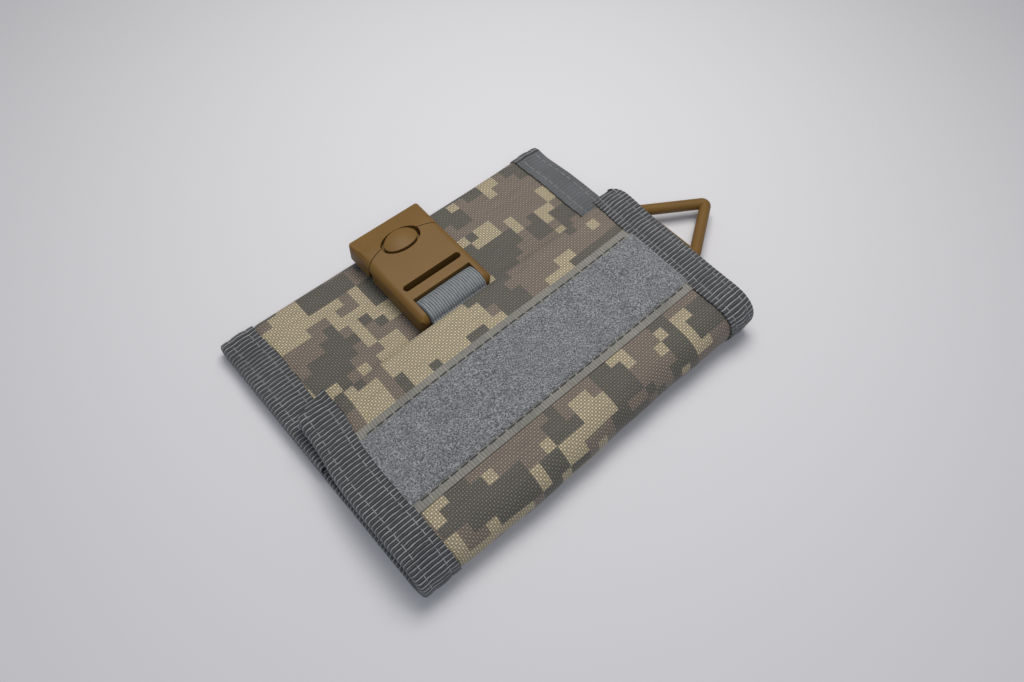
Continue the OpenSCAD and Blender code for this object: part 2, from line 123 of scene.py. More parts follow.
@dataclass(frozen=True)
class Strip:
    """The long strip of cloth that is folded in three to make the wallet.

    Attributes:
        half_l: Half of the length along the folds.
        inner_x: Inner edge of the side bindings.
        top: Height of the outer flap's face.
        free_y: Free edge of the outer flap.
        near_y: Axis of the near fold.
        far_y: Axis of the far fold.
        far_r: Outside radius of the far fold.
        inner_y: Free edge of the inner flap.
        roll: Radius of the outer flap's rolled free edge.
        inner_roll: Radius of the inner flap's rolled free edge.
    """

    half_l: float = 62.5
    inner_x: float = 51.5
    top: float = 13.3
    free_y: float = 9.5
    near_y: float = -41.35
    far_y: float = 45.0
    far_r: float = 3.0
    inner_y: float = -3.0
    roll: float = 1.9
    inner_roll: float = 1.3

    @property
    def near_r(self) -> float:
        """Outside radius of the near fold."""
        return self.top / 2

    @property
    def s_near(self) -> float:
        """Where the near fold begins along the strip."""
        return self.free_y - self.near_y

    @property
    def s_back(self) -> float:
        """Where the back panel begins along the strip."""
        return self.s_near + math.pi * self.near_r

    @property
    def s_far(self) -> float:
        """Where the far fold begins along the strip."""
        return self.s_back + self.far_y - self.near_y

    @property
    def s_inner(self) -> float:
        """Where the inner flap begins along the strip."""
        return self.s_far + math.pi * self.far_r

    @property
    def s_end(self) -> float:
        """The inner flap's free edge."""
        return self.s_inner + self.far_y - self.inner_y

    @property
    def near_fold(self) -> Pair:
        """The near fold's two ends along the strip."""
        return self.s_near, self.s_back

    @property
    def back(self) -> Pair:
        """The back panel's two ends along the strip."""
        return self.s_back, self.s_far

    @property
    def far_fold(self) -> Pair:
        """The far fold's two ends along the strip."""
        return self.s_far, self.s_inner

    def s_of(self, y: float, body: Body) -> float:
        """Gives the place along the strip of a Y on one of the three panels.

        Args:
            y: The place along Y.
            body: The panel.

        Returns:
            The place along the strip.
        """
        if body is Body.OUTER:
            return self.free_y - y
        if body is Body.BACK:
            return self.s_back + y - self.near_y
        return self.s_inner + self.far_y - y

    def profile(self, s: float, rolled: bool = False) -> tuple[float, float, float, float]:
        """Gives the outer face's place and outward direction in Y and Z.

        Args:
            s: The place along the strip.
            rolled: Whether the free edges are rolled over rather than straight.

        Returns:
            Y, Z, and the Y and Z of the outward direction.
        """
        if rolled and s < self.roll:
            t = (self.roll - s) / self.roll
            y, z = self.free_y - self.roll, self.top - self.roll
            if t > math.pi:
                return y - (t - math.pi) * self.roll, z - self.roll, 0.0, -1.0
            return y + self.roll * math.sin(t), z + self.roll * math.cos(t), math.sin(t), math.cos(t)
        if rolled and s > self.s_end - self.inner_roll:
            r = self.inner_roll
            t = (s - self.s_end + r) / r
            y, z = self.inner_y + r, 2 * self.far_r - r
            if t > math.pi:
                return y + (t - math.pi) * r, z - r, 0.0, -1.0
            return y - r * math.sin(t), z + r * math.cos(t), -math.sin(t), math.cos(t)
        if s < self.s_near:
            return self.free_y - s, self.top, 0.0, 1.0
        if s < self.s_back:
            a = math.pi / 2 + (s - self.s_near) / self.near_r
            c, d = math.cos(a), math.sin(a)
            return self.near_y + self.near_r * c, self.near_r + self.near_r * d, c, d
        if s < self.s_far:
            return self.near_y + s - self.s_back, 0.0, 0.0, -1.0
        if s < self.s_inner:
            a = -math.pi / 2 + (s - self.s_far) / self.far_r
            c, d = math.cos(a), math.sin(a)
            return self.far_y + self.far_r * c, self.far_r + self.far_r * d, c, d
        return self.far_y - s + self.s_inner, 2 * self.far_r, 0.0, 1.0

    def sag(self, x: float, y: float, s: float) -> Point:
        """Gives how far the soft wallet differs from its flat plan at a place.

        Args:
            x: The place along the folds.
            y: The place across them.
            s: The place along the strip.

        Returns:
            The shift in X, Y and Z.
        """
        # where each effect holds, easing from 0 to 1
        outer = smooth((self.s_back - 4 - s) / 18)  # on the outer flap
        inner = smooth((s - self.s_far - 3) / 12)  # on the inner flap
        right = smooth((x - 8) / 54)
        left = smooth((-x - 16) / 44)
        to_edge = smooth((y + 40) / 46)  # from the near fold to the outer flap's free edge
        near = smooth((-y - 38) / 8)  # round the near fold
        crown = max(0.0, 1 - (x / 52) ** 2)  # in the middle of the length
        # the whole right end rides on the ring's tab
        dz = 0.9 * right * (1 - 0.6 * inner * smooth((y - 20) / 25))
        # the outer flap sinks at its left end, rises at its right end and bulges between them
        dz += outer * to_edge * (1.5 * right - 2.9 * left)
        dz += outer * 0.5 * crown * smooth((y + 44) / 12)
        dz += outer * 0.22 * math.sin(0.11 * x + 0.9) * to_edge
        # its left free corner turns up, and its right end swells over the tab
        dz += outer * 1.7 * smooth((-x - 53) / 9) * smooth((y - 3.5) / 6)
        dz += outer * 0.9 * smooth((x - 48) / 8) * smooth((y + 6) / 12)
        # the inner flap is crowned, and pinched at its corners by the far fold
        pinch = smooth((abs(x) - 46) / 14) * smooth((y - 28) / 16)
        dz += inner * (0.22 * crown - 0.8 * pinch + 0.12 * math.sin(0.17 * x + 0.1 * y))
        # the near fold is flattened from above, most of all on the left
        dz -= near * outer * (0.7 + 0.9 * left)
        # the near fold wanders, and the flap's left end is drawn in and towards the right
        dx = outer * 2.4 * left * to_edge**4
        dy = near * (0.35 * math.sin(0.07 * x + 0.5) + 0.12 * math.sin(0.31 * x) + 1.1 * left)
        return dx, dy, dz

    def place(self, x: float, s: float, n: float, rolled: bool = False) -> Point:
        """Gives where a point of the folded wallet is.

        Args:
            x: The place along the folds.
            s: The place along the strip.
            n: The height above the strip's outer face.
            rolled: Whether the free edges are rolled over.

        Returns:
            The point.
        """
        y, z, ny, nz = self.profile(s, rolled)
        dx, dy, dz = self.sag(x, y, min(max(s, 0.0), self.s_end))
        height = z + n * nz + dz
        # whatever would go through the table is pressed flat on it, with its layers still in order
        if height < TABLE_SKIN:
            height = TABLE_SKIN * math.exp(height / TABLE_SKIN - 1)
        return x + dx, y + n * ny + dy, height


STRIP = Strip()


def new_object(name: str, mesh: bmesh.types.BMesh, material: Material, angle: float = 60) -> Piece:
    """Turns a bmesh in millimetres into a smooth-shaded object in metres.

    Args:
        name: The object's name.
        mesh: The bmesh, which is freed.
        material: Its material.
        angle: Edges sharper than this, in degrees, stay sharp.

    Returns:
        The object.
    """
    bmesh.ops.scale(mesh, vec=(MM, MM, MM), verts=mesh.verts)
    bmesh.ops.recalc_face_normals(mesh, faces=mesh.faces)
    limit = math.radians(angle)
    for face in mesh.faces:
        face.smooth = True
    for edge in mesh.edges:
        edge.smooth = len(edge.link_faces) != 2 or edge.calc_face_angle(0.0) < limit
    data = bpy.data.meshes.new(name)
    mesh.to_mesh(data)
    mesh.free()
    data.materials.append(material)
    made = bpy.data.objects.new(name, data)
    bpy.context.scene.collection.objects.link(made)
    return made


def lay_grid(
    mesh: bmesh.types.BMesh,
    columns: int,
    rows: int,
    where: Callable[[float, float], Point],
    flat: Callable[[float, float], Pair],
) -> None:
    """Adds a grid whose points are placed by a function of two shares from 0 to 1.

    Args:
        mesh: The bmesh that it is added to.
        columns: Cells along the first share.
        rows: Cells along the second share.
        where: Gives a point's place.
        flat: Gives a point's place on the flat cloth, kept as its UV.
    """
    uv = mesh.loops.layers.uv.verify()
    made = bmesh.ops.create_grid(mesh, x_segments=columns, y_segments=rows, size=0.5)["verts"]
    shares = {v: (v.co.x + 0.5, v.co.y + 0.5) for v in made}
    for face in {f for v in made for f in v.link_faces}:
        for loop in face.loops:
            loop[uv].uv = flat(*shares[loop.vert])
    for v, (a, b) in shares.items():
        v.co = where(a, b)


def sweep(
    mesh: bmesh.types.BMesh, path: Sequence[Point], radius: float, sides: int, closed: bool = False
) -> None:
    """Adds a round rod or thread along a path.

    Args:
        mesh: The bmesh that it is added to.
        path: The centreline's points.
        radius: The rod's radius.
        sides: How many sides it has.
        closed: Whether the path is a loop.
    """
    points = [Vector(p) for p in path]
    count = len(points)
    rings: list[list[bmesh.types.BMVert]] = []
    normal: Vector | None = None
    for i, point in enumerate(points):
        before = points[(i - 1) % count] if closed or i else point
        after = points[(i + 1) % count] if closed or i < count - 1 else point
        along = (after - before).normalized()
        if normal is None:
            normal = along.orthogonal().normalized()
        normal = (normal - along * normal.dot(along)).normalized()
        side = along.cross(normal)
        ring = [
            mesh.verts.new(point + radius * (math.cos(t) * normal + math.sin(t) * side))
            for t in (2 * math.pi * k / sides for k in range(sides))
        ]
        rings.append(ring)
    pairs = list(zip(rings, rings[1:], strict=False)) + ([(rings[-1], rings[0])] if closed else [])
    for a, b in pairs:
        offset = 0
        if closed and a is rings[-1]:
            offset = min(range(sides), key=lambda k: (b[k].co - a[0].co).length)
        for k in range(sides):
            m = (k + 1) % sides
            mesh.faces.new((a[k], a[m], b[(m + offset) % sides], b[(k + offset) % sides]))
    if not closed:
        mesh.faces.new(list(reversed(rings[0])))
        mesh.faces.new(rings[-1])


def curve_through(points: Sequence[Pair], steps: int) -> list[Pair]:
    """Draws a smooth line through points.

    Args:
        points: The points.
        steps: How many pieces each stretch is cut into.

    Returns:
        The smooth line's points.
    """
    ends = [points[0], *points, points[-1]]
    line: list[Pair] = []
    for a, b, c, d in zip(ends, ends[1:], ends[2:], ends[3:], strict=False):
        for k in range(steps):
            t = k / steps
            weights = (
                (2 * t**2 - t - t**3) / 2,
                (2 - 5 * t**2 + 3 * t**3) / 2,
                (t + 4 * t**2 - 3 * t**3) / 2,
                (t**3 - t**2) / 2,
            )
            near = (a, b, c, d)
            line.append(tuple(sum(w * p[i] for w, p in zip(weights, near, strict=True)) for i in (0, 1)))
    return [*line, points[-1]]


# ------------------------------------------------------------------ materials


def linear(colour: str) -> tuple[float, float, float, float]:
    """Converts an sRGB colour to linear light.

    Args:
        colour: The colour, as a hex value.

    Returns:
        Linear red, green and blue, and an alpha of 1.
    """
    values = [int(colour[i : i + 2], 16) / 255 for i in (1, 3, 5)]
    r, g, b = (v / 12.92 if v <= 0.04045 else ((v + 0.055) / 1.055) ** 2.4 for v in values)
    return r, g, b, 1.0


class Recipe:
    """A material's node tree, with one way to add a node and a few patterns built on it."""

    def __init__(self, name: str) -> None:
        """Starts a material.

        Args:
            name: Its name.
        """
        self.material = bpy.data.materials.new(name)
        self.material.use_nodes = True
        self.tree = self.material.node_tree
        self.shader = self.tree.nodes["Principled BSDF"]

    def join(self, socket: Socket, value: object) -> None:
        """Links a socket to another socket, or sets it to a value.

        Args:
            socket: The input.
            value: The other socket or the value.
        """
        if isinstance(value, Socket):
            self.tree.links.new(value, socket)
        else:
            socket.default_value = value

    def add(self, kind: str, *inputs: object, output: int | str = 0, **named: object) -> Socket:
        """Adds a node with its settings and links.

        Args:
            kind: The node's type, without the ShaderNode prefix.
            *inputs: Values or sockets for its inputs, in order.
            output: The output that is wanted.
            **named: Its own settings, whose names are in lower case, and values or sockets for
                inputs by name, which have a capital.

        Returns:
            The output.
        """
        node = self.tree.nodes.new("ShaderNode" + kind)
        for key, value in named.items():
            if key.islower():
                setattr(node, key, value)
            else:
                self.join(node.inputs[key], value)
        for socket, value in zip(node.inputs, inputs, strict=False):
            self.join(socket, value)
        return node.outputs[output]

    def finish(self, **values: object) -> Material:
        """Sets or links the shader's inputs.

        Args:
            **values: Values or sockets by the input's name, with _ for a space.

        Returns:
            The material.
        """
        for key, value in values.items():
            self.join(self.shader.inputs[key.replace("_", " ")], value)
        return self.material

    def space(self) -> Socket:
        """Gives the place on the object, in millimetres."""
        return self.add("VectorMath", self.add("TexCoord", output="Object"), operation="SCALE", Scale=1 / MM)

    def noise(self, where: Socket, size: float, detail: float = 3.0, shift: float = 0.0) -> Socket:
        """Gives a random mottle.

        Args:
            where: The place that it is read at.
            size: The size of its features.
            detail: How many finer layers it has.
            shift: Moves it, so that two mottles differ.

        Returns:
            Its level, which mostly stays between 0.25 and 0.75.
        """
        moved = self.add("VectorMath", where, (shift, shift * 0.7, shift * 0.3))
        return self.add("TexNoise", Vector=moved, Scale=1 / size, Detail=detail)

    def spot(self, where: Socket, x: float, s: float, reach: float, stretch: float) -> Socket:
        """Gives a soft spot on the cloth.

        Args:
            where: The place that it is read at.
            x: Its middle along the folds.
            s: Its middle along the strip.
            reach: How far it reaches along the strip.
            stretch: How many times longer it is along the folds.

        Returns:
            1 at its middle, falling to 0.
        """
        offset = self.add("VectorMath", where, (x, s, 0.0), operation="SUBTRACT")
        squeezed = self.add("VectorMath", offset, (1 / stretch, 1.0, 0.0), operation="MULTIPLY")
        distance = self.add("VectorMath", squeezed, output=1, operation="LENGTH")
        return self.add("MapRange", distance, 0.0, reach, 1.0, 0.0, interpolation_type="SMOOTHSTEP")

    def wave(self, coordinate: Socket, pitch: float) -> Socket:
        """Gives a rounded ridge, from 0 to 1, every pitch millimetres."""
        turned = self.add("Math", coordinate, math.pi / pitch, operation="MULTIPLY")
        return self.add("Math", self.add("Math", turned, operation="SINE"), operation="ABSOLUTE")

    def weave(self, where: Socket, pitch: float) -> Socket:
        """Gives the height of a plain weave.

        Args:
            where: The place on the flat cloth.
            pitch: The spacing of its yarns.

        Returns:
            The height, from 0 in the gaps to 1 on every second crossing.
        """
        u = self.add("SeparateXYZ", where)
        v = u.node.outputs[1]
        check = self.add("TexChecker", where, (1, 1, 1, 1), (0, 0, 0, 1), 1 / pitch, output=1)
        over = self.add("MapRange", check, 0.0, 1.0, 0.5, 1.0)
        cover = self.add("Math", self.wave(u, pitch), self.wave(v, pitch), operation="MULTIPLY")
        return self.add("Math", cover, over, operation="MULTIPLY")


@dataclass(frozen=True)
class Oxford:
    """600D polyester oxford, roller-printed with a digital camouflage.

    The basket of thick yarns gives rows of small knots, drawn with a painted highlight on each knot
    and painted shade in the gaps. The real yarns are about 0.5 mm apart, and they are drawn a little
    coarser so that they show.

    Attributes:
        dark: The olive grey.
        brown: The mauve brown.
        tan: The tan.
        cell: The side of the print's square cells.
        pitch: The weave's yarn spacing.
        tan_spots: Where the print runs to tan or away from it: x, s, reach, stretch and strength.
        brown_spots: The same for brown.
    """

    dark: str = "#6e6b62"
    brown: str = "#908377"
    tan: str = "#cabc9d"
    cell: float = 3.4
    pitch: float = 0.72
    tan_spots: tuple[tuple[float, float, float, float, float], ...] = (
        (-20.0, 3.0, 14.0, 2.2, 0.19),
        (-46.0, 9.0, 10.0, 1.0, 0.17),
        (10.0, 30.0, 26.0, 2.4, -0.03),
        (30.0, 2.0, 12.0, 1.6, -0.16),
        (-43.0, 176.0, 15.0, 1.3, 0.17),
        (36.0, 172.0, 16.0, 1.2, -0.03),
    )
    brown_spots: tuple[tuple[float, float, float, float, float], ...] = (
        (30.0, 2.0, 14.0, 1.8, 0.16),
        (-8.0, 44.0, 12.0, 2.2, 0.05),
        (26.0, 176.0, 14.0, 1.4, 0.06),
    )

    def build(self) -> Material:
        """Makes the material.

        Returns:
            The material.
        """
        r = Recipe("printed_polyester_oxford")
        flat = r.add("UVMap")
        # every place in one square cell of the print gets one colour
        cell = r.add("VectorMath", flat, (self.cell,) * 3, operation="SNAP")
        chance = r.add("Math", r.add("TexWhiteNoise", cell), 0.5, operation="SUBTRACT")
        stray = r.add("Math", chance, 0.11, operation="MULTIPLY")
        brown = r.add("Math", r.noise(cell, 13, 2.5, 31.7), stray, operation="ADD")
        tan = r.add("Math", r.noise(cell, 11, 2.5, 80.3), stray, operation="ADD")
        for *spot, strength in self.tan_spots:
            tan = r.add("Math", r.spot(cell, *spot), strength, tan, operation="MULTIPLY_ADD")
        for *spot, strength in self.brown_spots:
            brown = r.add("Math", r.spot(cell, *spot), strength, brown, operation="MULTIPLY_ADD")
        is_brown = r.add("Math", brown, 0.5, operation="GREATER_THAN")
        is_tan = r.add("Math", tan, 0.565, operation="GREATER_THAN")
        inks = r.add("MixRGB", is_brown, linear(self.dark), linear(self.brown))
        inks = r.add("MixRGB", is_tan, inks, linear(self.tan))
        # painted highlight on the knots and painted shade in the gaps, with slubs along the yarns
        yarn = r.weave(flat, self.pitch)
        u = r.add("SeparateXYZ", flat)
        long = r.add("CombineXYZ", r.add("Math", u, 0.12, operation="MULTIPLY"), u.node.outputs[1])
        slub = r.add("MapRange", r.noise(long, 0.9, 2.0), 0.2, 0.8, 0.86, 1.14)
        shade = r.add("Math", r.add("MapRange", yarn, 0.0, 0.9, 0.3, 1.34), slub, operation="MULTIPLY")
        return r.finish(
            Base_Color=r.add("VectorMath", inks, operation="SCALE", Scale=shade),
            Normal=r.add("Bump", Strength=1.0, Distance=0.16 * MM, Height=yarn),
            Roughness=0.62,
            Sheen_Weight=0.12,
            Sheen_Roughness=0.5,
        )


@dataclass(frozen=True)
class Grosgrain:
    """Woven polyester ribbon, dyed blue-grey.

    Its thick ribs give the eye dark bars, and the weft between them gives broken lines of light
    beads, bright where they aren't worn.

    Attributes:
        name: The material's name.
        rib: The ribs' colour.
        line: The colour of the lines between them.
        pitch: The spacing of the ribs.
        share: How wide the light line is, as a share of the pitch.
        turned: Whether the ribs run along the strip of cloth rather than across it.
        bead: The spacing of the beads along a line.
    """

    name: str = "polyester_grosgrain"
    rib: str = "#2c2f33"
    line: str = "#c9cccf"
    pitch: float = RIB
    share: float = 0.3
    turned: bool = False
    bead: float = 0.42

    def build(self) -> Material:
        """Makes the material.

        Returns:
            The material.
        """
        r = Recipe(self.name)
        flat = r.add("UVMap")
        u = r.add("SeparateXYZ", flat)
        v = u.node.outputs[1]
        if self.turned:
            u, v = v, u
        # the ribs wander a little
        stray = r.add("Math", r.noise(flat, 4.5), 0.5, operation="SUBTRACT")
        across = r.add("Math", stray, 0.4 * self.pitch, v, operation="MULTIPLY_ADD")
        ridge = r.wave(across, self.pitch)
        low = r.add("MapRange", ridge, self.share + 0.25, self.share - 0.1)
        # a second, fainter weft halfway up each rib
        half = r.add("MapRange", r.wave(across, self.pitch / 2), 0.45, 0.1, 0.0, 0.34)
        weft = r.add("Math", low, half, operation="MAXIMUM")
        # beads along the weft, and places where they are worn
        yarn = r.wave(u, self.bead)
        bead = r.add("MapRange", yarn, 0.1, 0.9, 0.45, 1.0)
        long = r.add("CombineXYZ", r.add("Math", u, 0.35, operation="MULTIPLY"), v)
        worn = r.add("MapRange", r.noise(long, 0.7), 0.3, 0.72, 0.42, 1.0)
        share = r.add("Math", weft, r.add("Math", bead, worn, operation="MULTIPLY"), operation="MULTIPLY")
        colour = r.add("MixRGB", share, linear(self.rib), linear(self.line))
        shade = r.add("MapRange", r.noise(flat, 9.0, 2.0, 3.0), 0.3, 0.7, 0.86, 1.12)
        height = r.add("Math", yarn, 0.35, ridge, operation="MULTIPLY_ADD")
        return r.finish(
            Base_Color=r.add("VectorMath", colour, operation="SCALE", Scale=shade),
            Normal=r.add("Bump", Strength=1.0, Distance=0.24 * MM, Height=height),
            Roughness=0.55,
            Sheen_Weight=0.2,
            Sheen_Roughness=0.4,
        )


@dataclass(frozen=True)
class Pile:
    """Brushed nylon loop pile: matted grey fibres, drawn as bright flecks with painted shade between them.

    Attributes:
        dark: The colour between the fibres, which is painted shade.
        light: The fibres' colour.
        fleck: The size of the flecks.
    """

    dark: str = "#484b50"
    light: str = "#b9bcc1"
    fleck: float = 0.42

    def build(self) -> Material:
        """Makes the material.

        Returns:
            The material.
        """
        r = Recipe("brushed_nylon_loop_pile")
        where = r.space()
        fine = r.noise(where, self.fleck, 4.0)
        broad = r.add("Math", r.noise(where, 6.0, 2.0, 9.0), 0.5, operation="SUBTRACT")
        level = r.add("Math", broad, 0.1, fine, operation="MULTIPLY_ADD")
        # the fibres' light colour on their tops and painted shade between them, with a faint broad mottle
        share = r.add("MapRange", level, 0.38, 0.72)
        return r.finish(
            Base_Color=r.add("MixRGB", share, linear(self.dark), linear(self.light)),
            Normal=r.add("Bump", Strength=1.0, Distance=0.5 * MM, Height=fine),
            Roughness=0.72,
            Sheen_Weight=0.35,
            Sheen_Roughness=0.5,
        )


@dataclass(frozen=True)
class PlainWeave:
    """Plain woven cloth in one colour, with a fine even grain drawn as painted highlight on the yarns and
    painted shade in the gaps.

    Attributes:
        name: The material's name.
        colour: Its colour.
        pitch: Its yarn spacing, about half as much again as the real one so that it shows.
        depth: The relief of its weave.
        roughness: Its roughness.
    """

    name: str
    colour: str
    pitch: float = 0.4
    depth: float = 0.08
    roughness: float = 0.5

    def build(self) -> Material:
        """Makes the material.

        Returns:
            The material.
        """
        r = Recipe(self.name)
        yarn = r.weave(r.add("UVMap"), self.pitch)
        # painted highlight on the yarns' crossings and painted shade in the gaps between them
        shade = r.add("MapRange", yarn, 0.0, 1.0, 0.6, 1.12)
        return r.finish(
            Base_Color=r.add("VectorMath", linear(self.colour)[:3], operation="SCALE", Scale=shade),
            Normal=r.add("Bump", Strength=1.0, Distance=self.depth * MM, Height=yarn),
            Roughness=self.roughness,
            Sheen_Weight=0.15,
        )


@dataclass(frozen=True)
class Elastic:
    """Woven elastic, whose cords along the strap are drawn as fine light lines with painted shade between
    them, broken by weft.

    Attributes:
        light: The cords' colour.
        dark: The colour between them, which is painted shade.
        pitch: The spacing of the cords.
        weft: The spacing of the weft that crosses them.
    """

    light: str = "#868c91"
    dark: str = "#30353a"
    pitch: float = CORD
    weft: float = 0.55

    def build(self) -> Material:
        """Makes the material.

        Returns:
            The material.
        """
        r = Recipe("woven_elastic_webbing")
        u = r.add("SeparateXYZ", r.add("UVMap"))
        v = u.node.outputs[1]
        cord = r.add("Math", r.wave(u, self.pitch), 0.65, operation="MULTIPLY")
        weave = r.add("Math", r.wave(v, self.weft), 0.35, cord, operation="MULTIPLY_ADD")
        long = r.add("CombineXYZ", u, r.add("Math", v, 0.25, operation="MULTIPLY"))
        streak = r.add("MapRange", r.noise(long, 0.55), 0.25, 0.75, 0.6, 1.25)
        level = r.add("Math", weave, streak, operation="MULTIPLY")
        # the cords' light colour on their tops and painted shade between them, with streaks along the strap
        share = r.add("MapRange", level, 0.18, 0.8)
        return r.finish(
            Base_Color=r.add("MixRGB", share, linear(self.dark), linear(self.light)),
            Normal=r.add("Bump", Strength=1.0, Distance=0.18 * MM, Height=level),
            Roughness=0.5,
            Sheen_Weight=0.25,
        )


@dataclass(frozen=True)
class Moulded:
    """Injection-moulded acetal with a spark-eroded texture, which gives the eye a satin brown.

    Attributes:
        colour: Its colour.
        roughness: Its middle roughness.
        grain: The texture's grain, a few times coarser than the real one so that it shows.
    """

    colour: str = "#76592c"
    roughness: float = 0.5
    grain: float = 0.25

    def build(self) -> Material:
        """Makes the material.

        Returns:
            The material.
        """
        r = Recipe("injection_moulded_acetal")
        where = r.space()
        fine = r.noise(where, self.grain, 2.0)
        shade = r.add("MapRange", r.noise(where, 9.0, 2.0, 4.0), 0.25, 0.75, 0.94, 1.06)
        return r.finish(
            Base_Color=r.add("VectorMath", linear(self.colour)[:3], operation="SCALE", Scale=shade),
            Roughness=r.add("MapRange", fine, 0.3, 0.7, self.roughness - 0.05, self.roughness + 0.08),
            Normal=r.add("Bump", Strength=0.5, Distance=0.02 * MM, Height=fine),
            IOR=1.48,
            Specular_IOR_Level=0.28,
        )


def plain(name: str, colour: str, roughness: float) -> Material:
    """Makes a material of one even colour.

    Args:
        name: Its name.
        colour: Its sRGB colour.
        roughness: Its roughness.

    Returns:
        The material.
    """
    return Recipe(name).finish(Base_Color=linear(colour), Roughness=roughness)


class Palette:
    """Every material of the wallet, made once."""

    def __init__(self) -> None:
        """Makes the materials."""
        self.oxford = Oxford().build()
        self.ribbon = Grosgrain().build()
        # a paler copy of the ribbon, with hardly any light lines
        self.pale_ribbon = Grosgrain("pale_polyester_grosgrain", "#5d6064", "#898c8f", RIB, 0.2).build()
        # heavier webbing: finer ribs and duller lines
        self.webbing = Grosgrain("polyester_webbing", "#34383e", "#5c626a", 0.9).build()
        # ground of the loop tape: pale, with its ribs along the wallet
        self.selvedge = Grosgrain("woven_nylon_tape_ground", "#7e7d77", "#bdbab0", 0.95, 0.5, True).build()
        self.pile = Pile().build()
        self.lining = PlainWeave("black_nylon_lining", "#1d1f21").build()
        self.pocket = PlainWeave("black_nylon_pocket_cloth", "#222527", 0.45).build()
        # rows of small hooks, which from a step away are a coarse dark grid, drawn with painted shade
        # between the hooks
        self.hook = PlainWeave("black_nylon_hook_tape", "#17181a", 1.1, 0.5, 0.6).build()
        self.elastic = Elastic().build()
        self.acetal = Moulded().build()
        # spun threads and fibres catch the light evenly, and foam and board are chalky
        self.thread = plain("grey_polyester_thread", "#93979a", 0.5)
        self.dark_thread = plain("dark_polyester_thread", "#33373c", 0.55)
        self.fibre = plain("nylon_loop_fibre", "#9a9ea3", 0.35)
        self.foam = plain("polyethylene_foam_and_board", "#b9b9b4", 0.7)


# ------------------------------------------------------------------ sewn pieces


@dataclass
class Workshop:
    """Makes the wallet's cloth pieces and attaches them to the moving bodies.

    Attributes:
        palette: The materials.
        thin: A relief moves a layer's underside too where the layer is thinner than this.
        dip: How far a stitch's ends go into the cloth.
        narrowest: Not used.
    """

    palette: Palette
    thin: float = 1.0
    dip: float = 0.22
    narrowest: float = 10.0

    def attach(
        self, piece: Piece, body: Body | tuple[Body, Body], slot: str, replaced: Iterable[str] = ()
    ) -> None:
        """Attaches a piece to a body, or to two bodies that a fold joins.

        Args:
            piece: The piece.
            body: The body, or the two bodies.
            slot: Not used.
            replaced: The CAD nodes that the piece stands for.
        """
        if isinstance(body, Body):
            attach(piece, body.value)
        elif body[1] is Body.OUTER:
            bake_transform(piece)
        elif body[1] is Body.INNER:
            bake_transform(piece)
        else:
            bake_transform(piece)
        if replaced:
            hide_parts(*replaced)
        log.info("made %s", piece.name)

    def slab(
        self,
        name: str,
        material: Material,
        x: Pair,
        s: Pair,
        n: Pair,
        step: float,
        rolled: bool = False,
        relief: Relief | None = None,
    ) -> Piece:
        """Makes a layer of the stack, following the soft wallet's shape.

        Args:
            name: The object's name.
            material: Its material.
            x: Its two ends along the folds.
            s: Its two ends along the strip.
            n: Its underside and its top above the strip's outer face.
            step: The size of its cells.
            rolled: Whether it follows the rolled free edges.
            relief: Adds to its top as a function of x and s.

        Returns:
            The object.
        """
        mesh = bmesh.new()
        columns = max(2, round((x[1] - x[0]) / step))
        rows = max(2, round((s[1] - s[0]) / step))

        def flat(a: float, b: float) -> Pair:
            """Gives the place on the flat cloth."""
            return x[0] + a * (x[1] - x[0]), s[0] + b * (s[1] - s[0])

        def top(a: float, b: float) -> Point:
            """Gives a point of the top."""
            u, v = flat(a, b)
            return STRIP.place(u, v, n[1] + (relief(u, v) if relief else 0.0), rolled)

        def under(a: float, b: float) -> Point:
            """Gives a point of the underside.

            Args:
                a: The share along the folds.
                b: The share along the strip.

            Returns:
                The point.
            """
            u, v = flat(a, b)
            lift = relief(u, v) if relief and n[1] - n[0] < self.thin else 0.0
            return STRIP.place(u, v, n[0] + lift, rolled)

        for where in (top, under):
            lay_grid(mesh, columns, rows, where, flat)
        rims = [e for e in mesh.edges if e.is_boundary]
        bmesh.ops.bridge_loops(mesh, edges=rims)
        return new_object(name, mesh, material, 50)

    def stitches(
        self, name: str, rows: Sequence[Row], material: Material, length: float, gap: float, radius: float
    ) -> Piece:
        """Makes lockstitch rows: short threads that dip into the cloth at both ends.

        Args:
            name: The object's name.
            rows: For each row, a function from its length and a depth to a point, and its two ends.
            material: The thread's material.
            length: One stitch's length.
            gap: The space between two stitches.
            radius: The thread's radius.

        Returns:
            The object.
        """
        mesh = bmesh.new()
        mesh.loops.layers.uv.verify()
        for where, low, high in rows:
            at = low + gap
            while at + length < high:
                shares = [k / 5 for k in range(6)]
                path = [where(at + t * length, self.dip * (2 * t - 1) ** 2) for t in shares]
                sweep(mesh, path, radius, 6)
                at += length + gap
        return new_object(name, mesh, material, 80)

    def cut(self, piece: Piece, x: Pair, s: Pair, held: Held, depth: float = 0.0) -> None:
        """Takes a sheet of cloth and the size that it was cut to, and does nothing with them.

        Args:
            piece: The cloth. Not used.
            x: Its two ends along the folds. Not used.
            s: Its two ends along the strip. Not used.
            held: How it is held. Not used.
            depth: How far its middle lies inside the strip's outer face, round a fold. Not used.
        """


